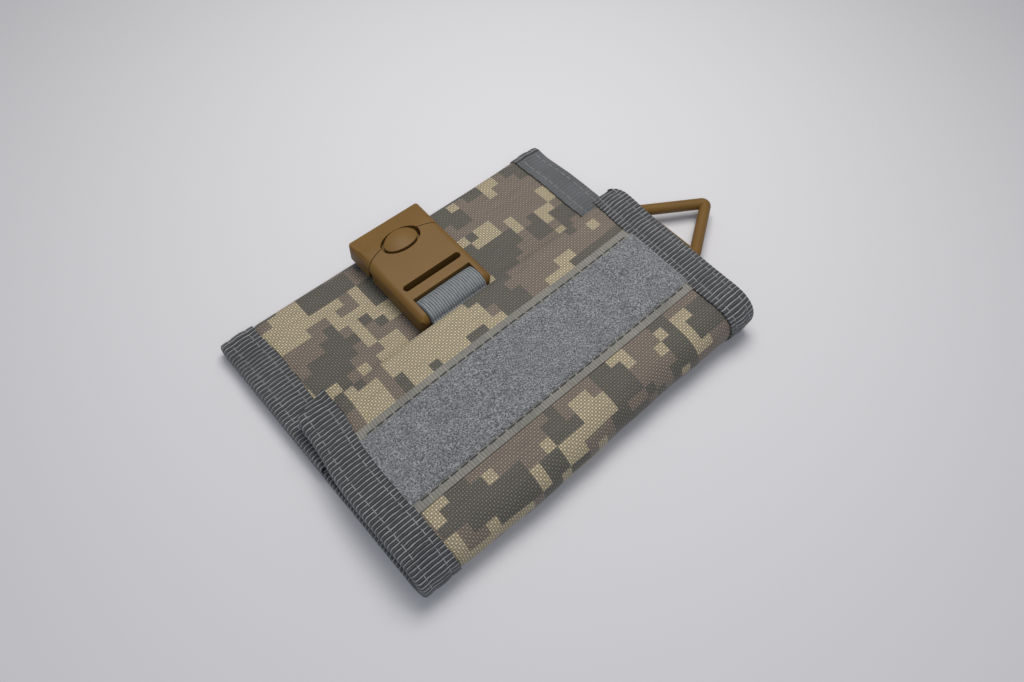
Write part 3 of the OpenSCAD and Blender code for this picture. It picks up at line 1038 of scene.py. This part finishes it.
@dataclass
class ClothCase:
    """The printed cloth, its fillings and its linings, on the three panels and two folds.

    Attributes:
        shop: The workshop.
        cloth: The printed cloth's thickness.
        end: Half of its length along the folds.
        roll: How far the printed cloth goes on past the outer flap's and the inner flap's edges.
        filling: Half of the fillings' length along the folds.
        dip: How far it steps down where it goes under a binding.
    """

    shop: Workshop
    cloth: float = 0.7
    end: float = STRIP.half_l - 1.2
    roll: Pair = (13.0, 11.0)
    filling: float = 49.5
    dip: float = 0.45

    def relief(self, x: float, s: float) -> float:
        """Gives the height of the printed cloth, which puckers beside a binding and dips under it.

        Args:
            x: The place along the folds.
            s: The place along the strip.

        Returns:
            The height.
        """
        depth = smooth((abs(x) - STRIP.inner_x + 1.0) / 1.4)
        pucker = 0.07 * math.sin(1.1 * s + 0.3 * x) * smooth((abs(x) - 40) / 11)
        return -self.dip * depth + pucker * (1 - depth) + 0.05 * math.sin(0.23 * s + 0.12 * x)

    def build(self) -> None:
        """Makes every cloth layer."""
        self.printed()
        self.linings()
        self.fillings()

    def cut(self, piece: Piece, s: Pair, body: Body | tuple[Body, Body], depth: float) -> None:
        """Hands a full-length sheet, stretched over a panel or folded between two, to the workshop's cut,
        which does nothing with it.

        Args:
            piece: The cloth.
            s: Its two ends along the strip.
            body: The body or bodies that it is on.
            depth: How far its middle lies inside the strip's outer face.
        """
        held = Held.STRETCHED if isinstance(body, Body) else Held.FOLDED
        self.shop.cut(piece, (-self.end, self.end), s, held, depth)

    def printed(self) -> None:
        """Makes the printed cloth."""
        ends, oxford = (-self.end, self.end), self.shop.palette.oxford
        outer, inner = (-self.roll[0], STRIP.s_near), (STRIP.s_inner, STRIP.s_end + self.roll[1])
        for name, s, body, node in (
            ("outer_flap_cloth", outer, Body.OUTER, "outer_flap_fabric"),
            ("near_fold_cloth", STRIP.near_fold, NEAR_FOLD, "near_fold_fabric"),
            ("back_cloth", STRIP.back, Body.BACK, "back_fabric"),
            ("far_fold_cloth", STRIP.far_fold, FAR_FOLD, "far_fold_fabric"),
            ("inner_flap_cloth", inner, Body.INNER, "inner_flap_fabric"),
        ):
            piece = self.shop.slab(name, oxford, ends, s, (-self.cloth, 0.0), 1.3, True, self.relief)
            self.shop.attach(piece, body, "camo_oxford", [node])
            if body is Body.OUTER:
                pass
            else:
                self.cut(piece, s, body, self.cloth / 2)

    def linings(self) -> None:
        """Makes the linings, each a thin layer between two heights."""
        ends, lining = (-self.end, self.end), self.shop.palette.lining
        outer, inner = (3.0, STRIP.s_near), (STRIP.s_inner, STRIP.s_end - 2)
        for name, s, n, body, node in (
            ("outer_flap", outer, (-3.05, -2.65), Body.OUTER, "outer_flap_lining"),
            ("near_fold", STRIP.near_fold, (-2.5, -2.1), NEAR_FOLD, "near_fold_lining"),
            ("back", STRIP.back, (-2.2, -1.85), Body.BACK, "note_pocket_lining"),
            ("far_fold", STRIP.far_fold, (-2.2, -1.85), FAR_FOLD, "far_fold_lining"),
            ("inner_flap", inner, (-2.2, -1.85), Body.INNER, "inner_flap_lining"),
        ):
            piece = self.shop.slab(f"{name}_lining_cloth", lining, ends, s, n, 2.4)
            self.shop.attach(piece, body, "lining_cloth", [node])
            self.cut(piece, s, body, -(n[0] + n[1]) / 2)

    def fillings(self) -> None:
        """Makes the foam and the two boards, which end a little inside their panels."""
        ends, foam = (-self.filling, self.filling), self.shop.palette.foam
        back, inner = (STRIP.s_back + 1, STRIP.s_far - 1), (STRIP.s_inner + 1, STRIP.s_end - 2.5)
        for node, s, n, body, slot in (
            ("outer_flap_foam", (3.2, STRIP.s_near - 1), (-2.3, -1.0), Body.OUTER, "foam_sheet"),
            ("back_board", back, (-1.6, -0.85), Body.BACK, "stiffener_board"),
            ("inner_flap_board", inner, (-1.6, -0.85), Body.INNER, "stiffener_board"),
        ):
            piece = self.shop.slab(f"{node}_sheet", foam, ends, s, n, 4.0)
            self.shop.attach(piece, body, slot, [node])


@dataclass
class Bindings:
    """The ribbon folded round both side edges, with its two rows of stitches.

    Attributes:
        shop: The workshop.
        reach: The ribbon's width on each face.
        thickness: The ribbon's thickness.
        lie: How far its middle lies off the cloth.
        core: The thickness of what it is folded round.
        flap_core: How much thicker that is on the outer flap, which has foam in it.
        fold: How far in from the edge it begins to turn.
        rib: The height of its ribs.
        step: The length of its cells along the strip.
        grooves: Where a stitch row pulls it in, as a share of its reach, how deep and how wide.
        rows: How far the two stitch rows are from its inner edge.
    """

    shop: Workshop
    reach: float = 11.0
    thickness: float = 0.28
    lie: float = 0.34
    core: float = 2.5
    flap_core: float = 1.3
    fold: float = 0.9
    rib: float = 0.16
    step: float = 0.2
    grooves: tuple[Point, ...] = ((0.22, 0.24, 0.07), (0.75, 0.2, 0.08))
    rows: Pair = (2.4, 8.2)

    def section(self, side: int, v: float) -> list[Point]:
        """Gives the ribbon's section at a place.

        Args:
            side: 1 for the right edge and -1 for the left.
            v: The place along the strip.

        Returns:
            For each point, X, the height above the strip and the place across the flat ribbon.
        """
        # from 0 to 1 over the outer flap's free corner, which is rounder and softer on the right
        turn = min(max((4.2 - v) / 5.2, 0.0), 1.0)
        corner, soften = (4.2, 0.9) if side > 0 else (1.6, 0.2)
        edge = STRIP.half_l - corner * (1 - math.sqrt(1 - turn**2)) - self.fold
        thick = self.core + self.flap_core * smooth((STRIP.s_near - v) / 12)
        wave = 0.22 * math.sin(0.9 * v + side) + 0.12 * math.sin(2.3 * v)
        inner = STRIP.half_l - self.reach + 0.25 * math.sin(0.21 * v + 2 * side) + 0.08 * math.sin(1.7 * v)
        # its inner edge goes down into the cloth, and its face bulges between the stitches
        points = [(inner, -0.3, 0.0), (inner, self.lie, 0.3)]
        for k in range(1, 9):
            a = k / 8
            lift = self.lie + 0.28 * math.sin(math.pi * a) + 0.1 * wave * math.sin(2 * math.pi * a)
            lift -= soften * turn**2
            lift -= sum(deep * math.exp(-(((a - at) / wide) ** 2)) for at, deep, wide in self.grooves)
            points.append((inner + a * (edge - inner), lift, 0.3 + a * self.reach))
        # round the edge
        for k in range(1, 8):
            t = math.pi * k / 8
            out = (self.fold + 0.05) * math.sin(t) + 0.06 * wave
            height = (thick / 2 + self.lie) * math.cos(t) - thick / 2
            points.append((edge + out, height, self.reach + 0.6 * k))
        # back along the other face
        for k in range(7):
            a = k / 6
            x = edge - a * (self.reach - 1.2)
            points.append((x, -thick - self.lie, self.reach + 5 + a * self.reach))
        return points

    def ribbon(self, name: str, side: int, s: Pair, material: Material) -> Piece:
        """Makes a stretch of ribbon folded over one side edge.

        Args:
            name: The object's name.
            side: 1 for the right edge and -1 for the left.
            s: Its two ends along the strip.
            material: Its material.

        Returns:
            The object.
        """
        mesh = bmesh.new()
        rows = max(8, round((s[1] - s[0]) / self.step))
        columns = len(self.section(side, s[0])) - 1
        sections: dict[int, list[Point]] = {}

        def sample(a: float, b: float) -> tuple[Point, Pair]:
            """Gives a point of the ribbon and its place on the flat ribbon.

            Args:
                a: The share round its section.
                b: The share along the strip.

            Returns:
                The point, and the place.
            """
            v = s[0] + b * (s[1] - s[0])
            row = round(b * rows)
            if row not in sections:
                sections[row] = self.section(side, v)
            x, n, u = sections[row][round(a * columns)]
            # on the left the free end is sewn at a slant and stands up
            if side < 0 and u < self.reach:
                slant = (self.reach - u) / self.reach * min(max((3.0 - v) / 3.9, 0.0), 1.0)
                v, n = v - 2.6 * slant, n + 0.9 * slant
            rib = self.rib * abs(math.sin(math.pi * v / RIB)) ** 0.7
            return STRIP.place(side * x, v, n + (rib if n > -1 else -rib)), (side * u, v)

        lay_grid(mesh, columns, rows, lambda a, b: sample(a, b)[0], lambda a, b: sample(a, b)[1])
        made = new_object(name, mesh, material, 70)
        solid = made.modifiers.new("ribbon_thickness", "SOLIDIFY")
        solid.thickness = self.thickness * MM
        solid.offset = -1
        return made

    def seam(self, x: float) -> Callable[[float, float], Point]:
        """Gives a stitch row along the strip at about one X, on top of the ribbon."""
        return lambda s, depth: STRIP.place(x + 0.25 * math.sin(0.13 * s + x), s, 0.52 - depth)

    def build(self) -> None:
        """Makes the ribbons and their stitches."""
        palette = self.shop.palette
        for name, s, body in (
            ("outer_flap_binding", (-0.9, STRIP.s_near), Body.OUTER),
            ("near_fold_binding", STRIP.near_fold, NEAR_FOLD),
            ("back_binding", STRIP.back, Body.BACK),
            ("far_fold_binding", STRIP.far_fold, FAR_FOLD),
            ("inner_flap_binding", (STRIP.s_inner, STRIP.s_end + 0.6), Body.INNER),
        ):
            for side, word in ((-1, "left"), (1, "right")):
                # in CAD a panel has one node for each side, and a fold has one node for both
                node = f"{name}_{word}" if isinstance(body, Body) else name
                # the inner flap's right side takes the paler copy of the ribbon
                finish = palette.pale_ribbon if body is Body.INNER and side > 0 else palette.ribbon
                piece = self.ribbon(f"{name}_ribbon_{word}", side, s, finish)
                self.shop.attach(piece, body, "grosgrain_binding", [node])
                rows = [(self.seam(side * (STRIP.inner_x + at)), *s) for at in self.rows]
                thread = self.shop.stitches(f"{name}_stitches_{word}", rows, palette.thread, 2.5, 0.5, 0.15)
                self.shop.attach(thread, body, "grosgrain_binding")


@dataclass
class LoopTape:
    """The strip of loop tape across the outer flap.

    Attributes:
        shop: The workshop.
        near: Its near edge.
        width: Its width with both selvedges.
        selvedge: One selvedge's width.
        half: Half of its length.
        fibres: How many loose loops stand out of the pile.
        fibre: A loose loop's radius.
    """

    shop: Workshop
    near: float = -32.1
    width: float = 28.6
    selvedge: float = 2.8
    half: float = STRIP.inner_x + 0.4
    fibres: int = 5200
    fibre: float = 0.055

    def build(self) -> None:
        """Makes the tape, its pile and its stitches."""
        shop, palette, ends = self.shop, self.shop.palette, (-self.half, self.half)
        start = STRIP.s_of(self.near + self.width, Body.OUTER)
        s = (start, start + self.width)
        low, high = s[0] + self.selvedge, s[1] - self.selvedge
        rng = random.Random(11)

        def weave(x: float, s: float) -> float:
            """Gives the ground's uneven weave."""
            return 0.05 * math.sin(0.8 * x) * math.sin(s)

        def fuzz(x: float, s: float) -> float:
            """Gives the pile's ragged top, lower at its two edges."""
            side = min(s - low, high - s)
            return -0.35 * (1 - smooth(side / 0.9)) + rng.uniform(-0.09, 0.09)

        selvedge, bed = palette.selvedge, palette.pile
        ground = shop.slab("loop_tape_ground_cloth", selvedge, ends, s, (-0.1, 0.32), 0.8, relief=weave)
        shop.attach(ground, Body.OUTER, "loop_tape_ground", ["loop_tape_base"])
        pile = shop.slab("loop_tape_pile_bed", bed, ends, (low, high), (0.2, 0.85), 0.45, relief=fuzz)
        shop.attach(pile, Body.OUTER, "loop_pile", ["loop_tape_pile"])
        shop.attach(self.loose_loops(low, high, rng), Body.OUTER, "loop_pile")
        rows = [
            (lambda x, depth, at=at: STRIP.place(x, at, 0.42 - depth), 2 - self.half, self.half - 2)
            for at in (low - 0.5, high + 0.5)
        ]
        thread = shop.stitches("loop_tape_stitches", rows, palette.dark_thread, 2.6, 0.6, 0.2)
        shop.attach(thread, Body.OUTER, "loop_tape_ground")

    def loose_loops(self, low: float, high: float, rng: random.Random) -> Piece:
        """Makes the half-round loops that stand out of the pile.

        Args:
            low: The pile's first edge along the strip.
            high: Its second edge.
            rng: The source of the random numbers.

        Returns:
            The object.
        """
        mesh = bmesh.new()
        mesh.loops.layers.uv.verify()
        for _ in range(self.fibres):
            x, s = rng.uniform(-self.half + 0.5, self.half - 0.5), rng.uniform(low + 0.3, high - 0.3)
            turn, reach, lift = rng.uniform(0, math.tau), rng.uniform(0.25, 0.6), rng.uniform(0.15, 0.42)
            path = []
            for k in range(5):
                t = math.pi * k / 4
                q = reach * math.cos(t)
                place = (x + q * math.cos(turn), s + q * math.sin(turn), 0.75 + lift * math.sin(t))
                path.append(STRIP.place(*place))
            sweep(mesh, path, self.fibre, 3)
        return new_object("loop_tape_fibres", mesh, self.shop.palette.fibre, 180)


@dataclass
class Pockets:
    """The card pockets, note pocket mouth, coin pocket and inner flap's slip pocket.

    Attributes:
        shop: The workshop.
        cards: The card pockets' two ends along the folds.
        foot: The Y of their sewn bottom edge.
        tiers: For each card pocket, its name, the Y of its mouth and how deep its face lies.
        coins: Half of the coin pocket's length.
        slip: Half of the slip pocket's length.
        tape_half: Half of the length of the coin pocket's hook and loop tapes.
    """

    shop: Workshop
    cards: Pair = (-45.0, 47.0)
    foot: float = -39.3
    tiers: tuple[tuple[str, float, float], ...] = (
        ("rear", 8.0, 2.75), ("middle", -4.0, 3.45), ("front", -16.0, 4.15),
    )
    coins: float = 48.5
    slip: float = 35.0
    tape_half: float = 36.0

    def pocket(self, node: str, body: Body, x: Pair, s: Pair, n: Pair, relief: Relief | None = None) -> None:
        """Args:
            node: The CAD node.
            body: The body that it rides on.
            x: Its two ends along the folds.
            s: Its two ends along the strip.
            n: Its two heights above the strip's outer face.
            relief: Adds to its height as a function of x and s.
        """
        cloth = self.shop.palette.pocket
        piece = self.shop.slab(f"{node}_cloth", cloth, x, s, n, POCKET_CELL, relief=relief)
        self.shop.attach(piece, body, "pocket_cloth", [node])
        self.shop.cut(piece, x, s, Held.LAID)

    def trim(self, name: str, body: Body, x: Pair, mouth: float, face: float) -> None:
        """Makes the webbing along a pocket's mouth.

        Args:
            name: The pocket's name.
            body: The body that it rides on.
            x: Its two ends along the folds.
            mouth: The mouth's place along the strip.
            face: How deep the pocket's face lies.
        """
        s, n = (mouth - 3.4, mouth + 0.1), (-face - 0.22, -face - 0.02)
        piece = self.shop.slab(f"{name}_trim", self.shop.palette.webbing, x, s, n, 0.9)
        self.shop.attach(piece, body, "grosgrain_binding")

    def build(self) -> None:
        """Makes the pockets."""
        self.card_pockets()
        self.note_pocket_mouth()
        self.coin_pocket()
        self.slip_pocket()

    def card_pockets(self) -> None:
        """Makes the three stepped card pockets, each with a trimmed and hemmed mouth."""
        for word, y, face in self.tiers:
            name, mouth = f"card_pocket_{word}", STRIP.s_of(y, Body.BACK)
            s = (STRIP.s_of(self.foot, Body.BACK), mouth)
            self.pocket(name, Body.BACK, self.cards, s, (-face, -face + 0.4))
            self.trim(name, Body.BACK, self.cards, mouth, face)
            hem = (
                lambda x, depth, at=mouth - 2.7, z=face: STRIP.place(x, at, -z - 0.34 + depth),
                self.cards[0] + 1.5,
                self.cards[1] - 1.5,
            )
            thread = self.shop.stitches(f"{name}_hem", [hem], self.shop.palette.thread, 2.2, 0.8, 0.15)
            self.shop.attach(thread, Body.BACK, "pocket_cloth")

    def note_pocket_mouth(self) -> None:
        """Makes the tape at the note pocket's open left end."""
        x, s, ribbon = (-51.2, -46), (STRIP.s_back + 1, STRIP.s_far - 1), self.shop.palette.ribbon
        tape = self.shop.slab("note_pocket_tape_ribbon", ribbon, x, s, (-2.45, -1.6), 1.6)
        self.shop.attach(tape, Body.BACK, "grosgrain_binding", ["note_pocket_tape"])

    def coin_pocket(self) -> None:
        """Makes the coin pocket, which stands off the flap except at its sewn edges."""
        palette = self.shop.palette

        def sewn_edges(x: float, s: float) -> float:
            """Gives how far the pocket comes up to the flap at its ends and bottom."""
            return 1.9 * max(smooth((abs(x) - 38) / 10), smooth((s - 38) / 10))

        s = (STRIP.s_of(-4.5, Body.OUTER), STRIP.s_of(-38.8, Body.OUTER))
        self.pocket("coin_pocket", Body.OUTER, (-self.coins, self.coins), s, (-5.6, -5.2), sewn_edges)
        s = (STRIP.s_of(-5.5, Body.OUTER), STRIP.s_of(-13.5, Body.OUTER))
        for word, n, slot, material in (
            ("hook", (-3.7, -3.1), "hook_tape", palette.hook),
            ("loop", (-5.1, -4.6), "loop_pile", palette.pile),
        ):
            ends = (-self.tape_half, self.tape_half)
            tape = self.shop.slab(f"coin_pocket_{word}_tape", material, ends, s, n, 1.6)
            self.shop.attach(tape, Body.OUTER, slot, [f"coin_pocket_{word}_strip"])

    def slip_pocket(self) -> None:
        """Makes the inner flap's slip pocket."""
        x, s = (-self.slip, self.slip), (STRIP.s_of(39, Body.INNER), STRIP.s_of(0, Body.INNER))
        self.pocket("inner_flap_pocket", Body.INNER, x, s, (-2.65, -2.3))
        self.trim("inner_flap_pocket", Body.INNER, x, s[1], 2.65)


@dataclass
class Straps:
    """The elastic strap, the short strap and the ring's tab.

    Attributes:
        shop: The workshop.
        x: The middle of both straps.
        half: Half of their width.
        male_bar: The male half's bar, in Y and Z.
        buckle: Y and Z of the buckle's near lower edge.
        tilt: The buckle's tilt in degrees.
        slack: The elastic's slack turn round the near bar, which fills the window, in the
            buckle's own Y and Z.
        tab_half: Half of the ring tab's width.
    """

    shop: Workshop
    x: float = -2.8
    half: float = 10.2
    male_bar: Pair = (45.40, 10.69)
    buckle: Pair = (11.3, 6.3)
    tilt: float = 3.5
    slack: tuple[Pair, ...] = (
        (-0.3, 4.7), (0.6, 6.1), (2.6, 6.95), (4.8, 6.8), (6.6, 6.1),
        (7.5, 4.8), (7.45, 3.0), (6.4, 1.6), (3.6, 0.95), (0.8, 1.25),
    )
    tab_half: float = 10.4

    def at(self, y: float, z: float) -> Pair:
        """Turns a place in the buckle's own Y and Z into the wallet's.

        Args:
            y: The place along the buckle.
            z: The height above its underside.

        Returns:
            Y and Z.
        """
        c, s = math.cos(math.radians(self.tilt)), math.sin(math.radians(self.tilt))
        return self.buckle[0] + y * c - z * s, self.buckle[1] + y * s + z * c

    def band(
        self,
        name: str,
        line: Sequence[Pair],
        material: Material,
        thick: float,
        across: Pair,
        step: float = CORD / 2,
        cord: float = 0.0,
    ) -> Piece:
        """Makes a strap whose middle follows a line in Y and Z.

        Args:
            name: The object's name.
            line: The line.
            material: Its material.
            thick: Its thickness.
            across: Its two side edges.
            step: The width of its cells.
            cord: The height of the cords along it.

        Returns:
            The object.
        """
        mesh = bmesh.new()
        lengths = [0.0]
        for a, b in zip(line, line[1:], strict=False):
            lengths.append(lengths[-1] + math.dist(a, b))
        columns = round((across[1] - across[0]) / step)
        rows = len(line) - 1

        def flat(a: float, b: float) -> Pair:
            """Gives the place on the flat strap."""
            return across[0] + a * (across[1] - across[0]), lengths[round(b * rows)]

        def where(a: float, b: float) -> Point:
            """Gives a point of the strap's middle, corded, and lower at its two edges.

            Args:
                a: The share across the strap.
                b: The share along it.

            Returns:
                The point.
            """
            k = round(b * rows)
            before, after = line[max(k - 1, 0)], line[min(k + 1, rows)]
            size = math.dist(before, after)
            ny, nz = -(after[1] - before[1]) / size, (after[0] - before[0]) / size
            x, _ = flat(a, b)
            lift = cord * abs(math.sin(math.pi * x / CORD)) - 0.12 * abs(2 * a - 1) ** 8
            return x, line[k][0] + ny * lift, line[k][1] + nz * lift

        lay_grid(mesh, columns, rows, where, flat)
        made = new_object(name, mesh, material, 80)
        solid = made.modifiers.new("strap_thickness", "SOLIDIFY")
        solid.thickness = thick * MM
        solid.offset = 0
        rim = made.modifiers.new("strap_edge", "BEVEL")
        rim.width = 0.25 * MM
        rim.segments = 2
        rim.limit_method = "ANGLE"
        rim.angle_limit = math.radians(60)
        return made

    def arc(self, centre: Pair, radius: float, start: float, end: float, count: int) -> list[Pair]:
        """Gives points of an arc in Y and Z.

        Args:
            centre: Its centre.
            radius: Its radius.
            start: Its first angle, in degrees.
            end: Its last angle.
            count: How many pieces it is cut into.

        Returns:
            The points.
        """
        angles = [math.radians(start + (end - start) * k / count) for k in range(count + 1)]
        return [(centre[0] + radius * math.cos(a), centre[1] + radius * math.sin(a)) for a in angles]

    def build(self) -> None:
        """Makes the straps."""
        self.elastic()
        self.short_strap()
        self.ring_tab()

    def elastic(self) -> None:
        """Makes the elastic: two plies under the outer flap's edge, joined by its slack turn."""
        upper, lower = [(-3.0, 10.3), (3.0, 10.3), (8.0, 10.35)], [(8.6, 8.6), (5.5, 9.1), (-3.0, 9.2)]
        line = curve_through([*upper, *(self.at(*point) for point in self.slack), *lower], 4)
        edges, material = (self.x - self.half, self.x + self.half), self.shop.palette.elastic
        strap = self.band("elastic_strap_webbing", line, material, 0.95, edges, CORD / 4, 0.1)
        self.shop.attach(strap, Body.OUTER, "elastic_webbing", ["elastic_strap"])

    def short_strap(self) -> None:
        """Makes the short strap: a turn round the far fold, then a turn round the male half's bar."""
        edges, webbing = (self.x - self.half, self.x + self.half), self.shop.palette.webbing
        fold = self.arc((STRIP.far_y, STRIP.far_r), 3.6, -45, 60, 12)
        anchor = self.band("short_strap_fold_webbing", fold, webbing, 0.9, edges)
        self.shop.attach(anchor, FAR_FOLD, "strap_webbing", ["short_strap_anchor"])
        wrap = self.arc(self.male_bar, 2.1, -20, 300, 20)
        line = curve_through([fold[-1], (47.3, 8.2), *wrap], 3)
        loop = self.band("short_strap_webbing", line, webbing, 0.9, edges)
        self.shop.attach(loop, BUCKLE_STRAP, "strap_webbing", ["short_strap_loop"])

    def ring_tab(self) -> None:
        """Makes the tab that holds the ring's bar: the turn round it, and the sewn tail."""
        bar_x, bar_y, bar_z = RING_BAR
        wrap = self.arc((bar_x, bar_z), 2.5, -125, 125, 16)
        # a band is made along Y: swapping X and Y lays it along X, and turns its faces inside out
        swapped = Matrix(((0, 1, 0), (1, 0, 0), (0, 0, 1))).to_4x4()
        placed = Matrix.Translation((0, bar_y * MM, 0)) @ swapped
        tail = [(49.0, 3.35), (56.0, 3.35), (62.7, 3.5), (62.7, 4.5), (56.0, 4.4), (49.0, 4.4)]
        for name, path, sides in (
            ("ring_tab_turn", [(62.6, 3.5), *wrap, (62.6, 4.5)], (-self.tab_half, self.tab_half)),
            ("ring_tab_tail", tail, (-self.tab_half, 5.0)),
        ):
            tab = self.band(name, curve_through(path, 3), self.shop.palette.webbing, 0.95, sides)
            tab.data.transform(placed)
            tab.data.flip_normals()
            self.shop.attach(tab, Body.BACK, "strap_webbing", ["ring_tab"])


@dataclass
class Hardware:
    """The buckle's three mouldings and the ring.

    Attributes:
        shop: The workshop.
        edge: The radius of the buckle's edges.
        button_edge: The radius of the button's edge.
        height: The ring's height, from its bar's middle to its tip's corner.
        half_angle: Half of the angle at its tip, in degrees.
        radius: Its rod's radius.
        bend: The radius of the bends in the rod's middle.
        droop: How far it hangs down at rest, in degrees.
    """

    shop: Workshop
    edge: float = 0.3
    button_edge: float = 0.35
    height: float = 27.8
    half_angle: float = 31.0
    radius: float = 1.9
    bend: float = 3.3
    droop: float = 1.5

    def refined(self, node: str, body: Body, edge: float) -> None:
        """Copies a CAD moulding, joins its faces and rounds its edges.

        Args:
            node: The CAD node.
            body: The body that it rides on.
            edge: The radius of its edges.
        """
        source = next(o for o in bpy.data.objects if o.get("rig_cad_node") == node or o.name == node)
        mesh = bmesh.new()
        mesh.from_mesh(source.data)
        bmesh.ops.transform(mesh, matrix=source.matrix_world, verts=mesh.verts)
        bmesh.ops.remove_doubles(mesh, verts=mesh.verts, dist=2e-6)
        bmesh.ops.dissolve_limit(mesh, angle_limit=math.radians(0.8), verts=mesh.verts, edges=mesh.edges)
        bmesh.ops.scale(mesh, vec=(1 / MM,) * 3, verts=mesh.verts)
        made = new_object(f"{node}_moulding", mesh, self.shop.palette.acetal, 30)
        rounding = made.modifiers.new("moulded_edge", "BEVEL")
        rounding.width = edge * MM
        rounding.segments = 3
        rounding.limit_method = "ANGLE"
        rounding.angle_limit = math.radians(35)
        rounding.harden_normals = True
        self.shop.attach(made, body, "moulded_acetal", [node])

    def build(self) -> None:
        """Makes the mouldings."""
        self.refined("buckle_female", Body.OUTER, self.edge)
        self.refined("buckle_male", Body.MALE, self.edge)
        self.refined("release_button", Body.BUTTON, self.button_edge)
        self.ring()

    def ring(self) -> None:
        """Makes the triangular ring as one rod bent round three corners."""
        half_base = self.height * math.tan(math.radians(self.half_angle))
        corners = [Vector((0, -half_base, 0)), Vector((self.height, 0, 0)), Vector((0, half_base, 0))]
        path: list[Vector] = []
        for i, corner in enumerate(corners):
            a = (corners[i - 1] - corner).normalized()
            b = (corners[(i + 1) % 3] - corner).normalized()
            half = a.angle(b) / 2
            centre = corner + (a + b).normalized() * self.bend / math.sin(half)
            inset = self.bend / math.tan(half)
            start, end = corner + a * inset - centre, corner + b * inset - centre
            path += [centre + start.slerp(end, k / 8) for k in range(9)]
        placed = Matrix.Translation(RING_BAR) @ Matrix.Rotation(math.radians(self.droop), 4, "Y")
        mesh = bmesh.new()
        sweep(mesh, [tuple(placed @ point) for point in path], self.radius, 24, closed=True)
        made = new_object("triangle_ring_moulding", mesh, self.shop.palette.acetal, 80)
        self.shop.attach(made, Body.RING, "moulded_acetal", ["triangle_ring"])


# ------------------------------------------------------------------ studio


@dataclass
class Studio:
    """The table, the lights and the camera.

    Attributes:
        eye: The camera's place.
        right: The direction of its right side.
        down: The direction of its underside.
        ahead: The direction that it looks in.
        lens: Its focal length.
        table: Half of the table's side.
        air: The strength of the light from all round.
    """

    eye: Point = (-80.10, -88.61, 190.68)
    right: Point = (0.74086, -0.67084, 0.03323)
    down: Point = (-0.55542, -0.63970, -0.53131)
    ahead: Point = (0.37768, 0.37517, -0.84652)
    lens: float = 26.16
    table: float = 5000.0
    air: float = 0.26

    def build(self) -> None:
        """Makes the studio."""
        self.camera()
        mesh = bmesh.new()
        bmesh.ops.create_grid(mesh, x_segments=1, y_segments=1, size=self.table)
        new_object("table_top", mesh, plain("matt_white_laminate", "#dcdde2", 0.75))
        self.light("ceiling_softbox", (80, 70, 335), (65, 50, 0), 210, 0.9, "#fffaf4")
        self.light("front_softbox", (-190, -240, 400), (0, 0, 0), 160, 0.36, "#f6f8ff")
        scene, world = bpy.context.scene, bpy.data.worlds.new("studio_air")
        scene.world = world
        world.use_nodes = True
        back = world.node_tree.nodes["Background"]
        back.inputs["Color"].default_value = linear("#e8ecf2")
        back.inputs["Strength"].default_value = self.air
        scene.view_settings.view_transform = "Standard"
        scene.view_settings.look = "None"

    def camera(self) -> None:
        """Adds the camera."""
        data = bpy.data.cameras.new("camera")
        data.lens, data.sensor_width = self.lens, 36.0
        data.clip_start = 0.01
        made = bpy.data.objects.new("camera", data)
        bpy.context.scene.collection.objects.link(made)
        axes = (Vector(self.right), -Vector(self.down), -Vector(self.ahead))
        turn = Matrix([[axis[i] for axis in axes] for i in range(3)]).to_4x4()
        made.matrix_world = Matrix.Translation(Vector(self.eye) * MM) @ turn
        bpy.context.scene.camera = made

    def light(self, name: str, place: Point, target: Point, size: float, power: float, colour: str) -> None:
        """Adds a square soft light.

        Args:
            name: Its name.
            place: Where it is.
            target: What it points at.
            size: Its side.
            power: Its power in watts.
            colour: Its sRGB colour.
        """
        data = bpy.data.lights.new(name, "AREA")
        data.size, data.energy = size * MM, power
        data.color = linear(colour)[:3]
        made = bpy.data.objects.new(name, data)
        bpy.context.scene.collection.objects.link(made)
        made.location = Vector(place) * MM
        made.rotation_euler = (Vector(place) - Vector(target)).to_track_quat("Z", "Y").to_euler()


def main() -> None:
    """Builds the wallet and its studio."""
    logging.basicConfig(level=logging.INFO, format="%(message)s")
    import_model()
    shop = Workshop(Palette())
    sewn = (ClothCase(shop), Bindings(shop), LoopTape(shop), Pockets(shop), Straps(shop))
    for part in (*sewn, Hardware(shop), Studio()):
        part.build()
        log.info("built %s", type(part).__name__)


if __name__ == "__main__":
    main()
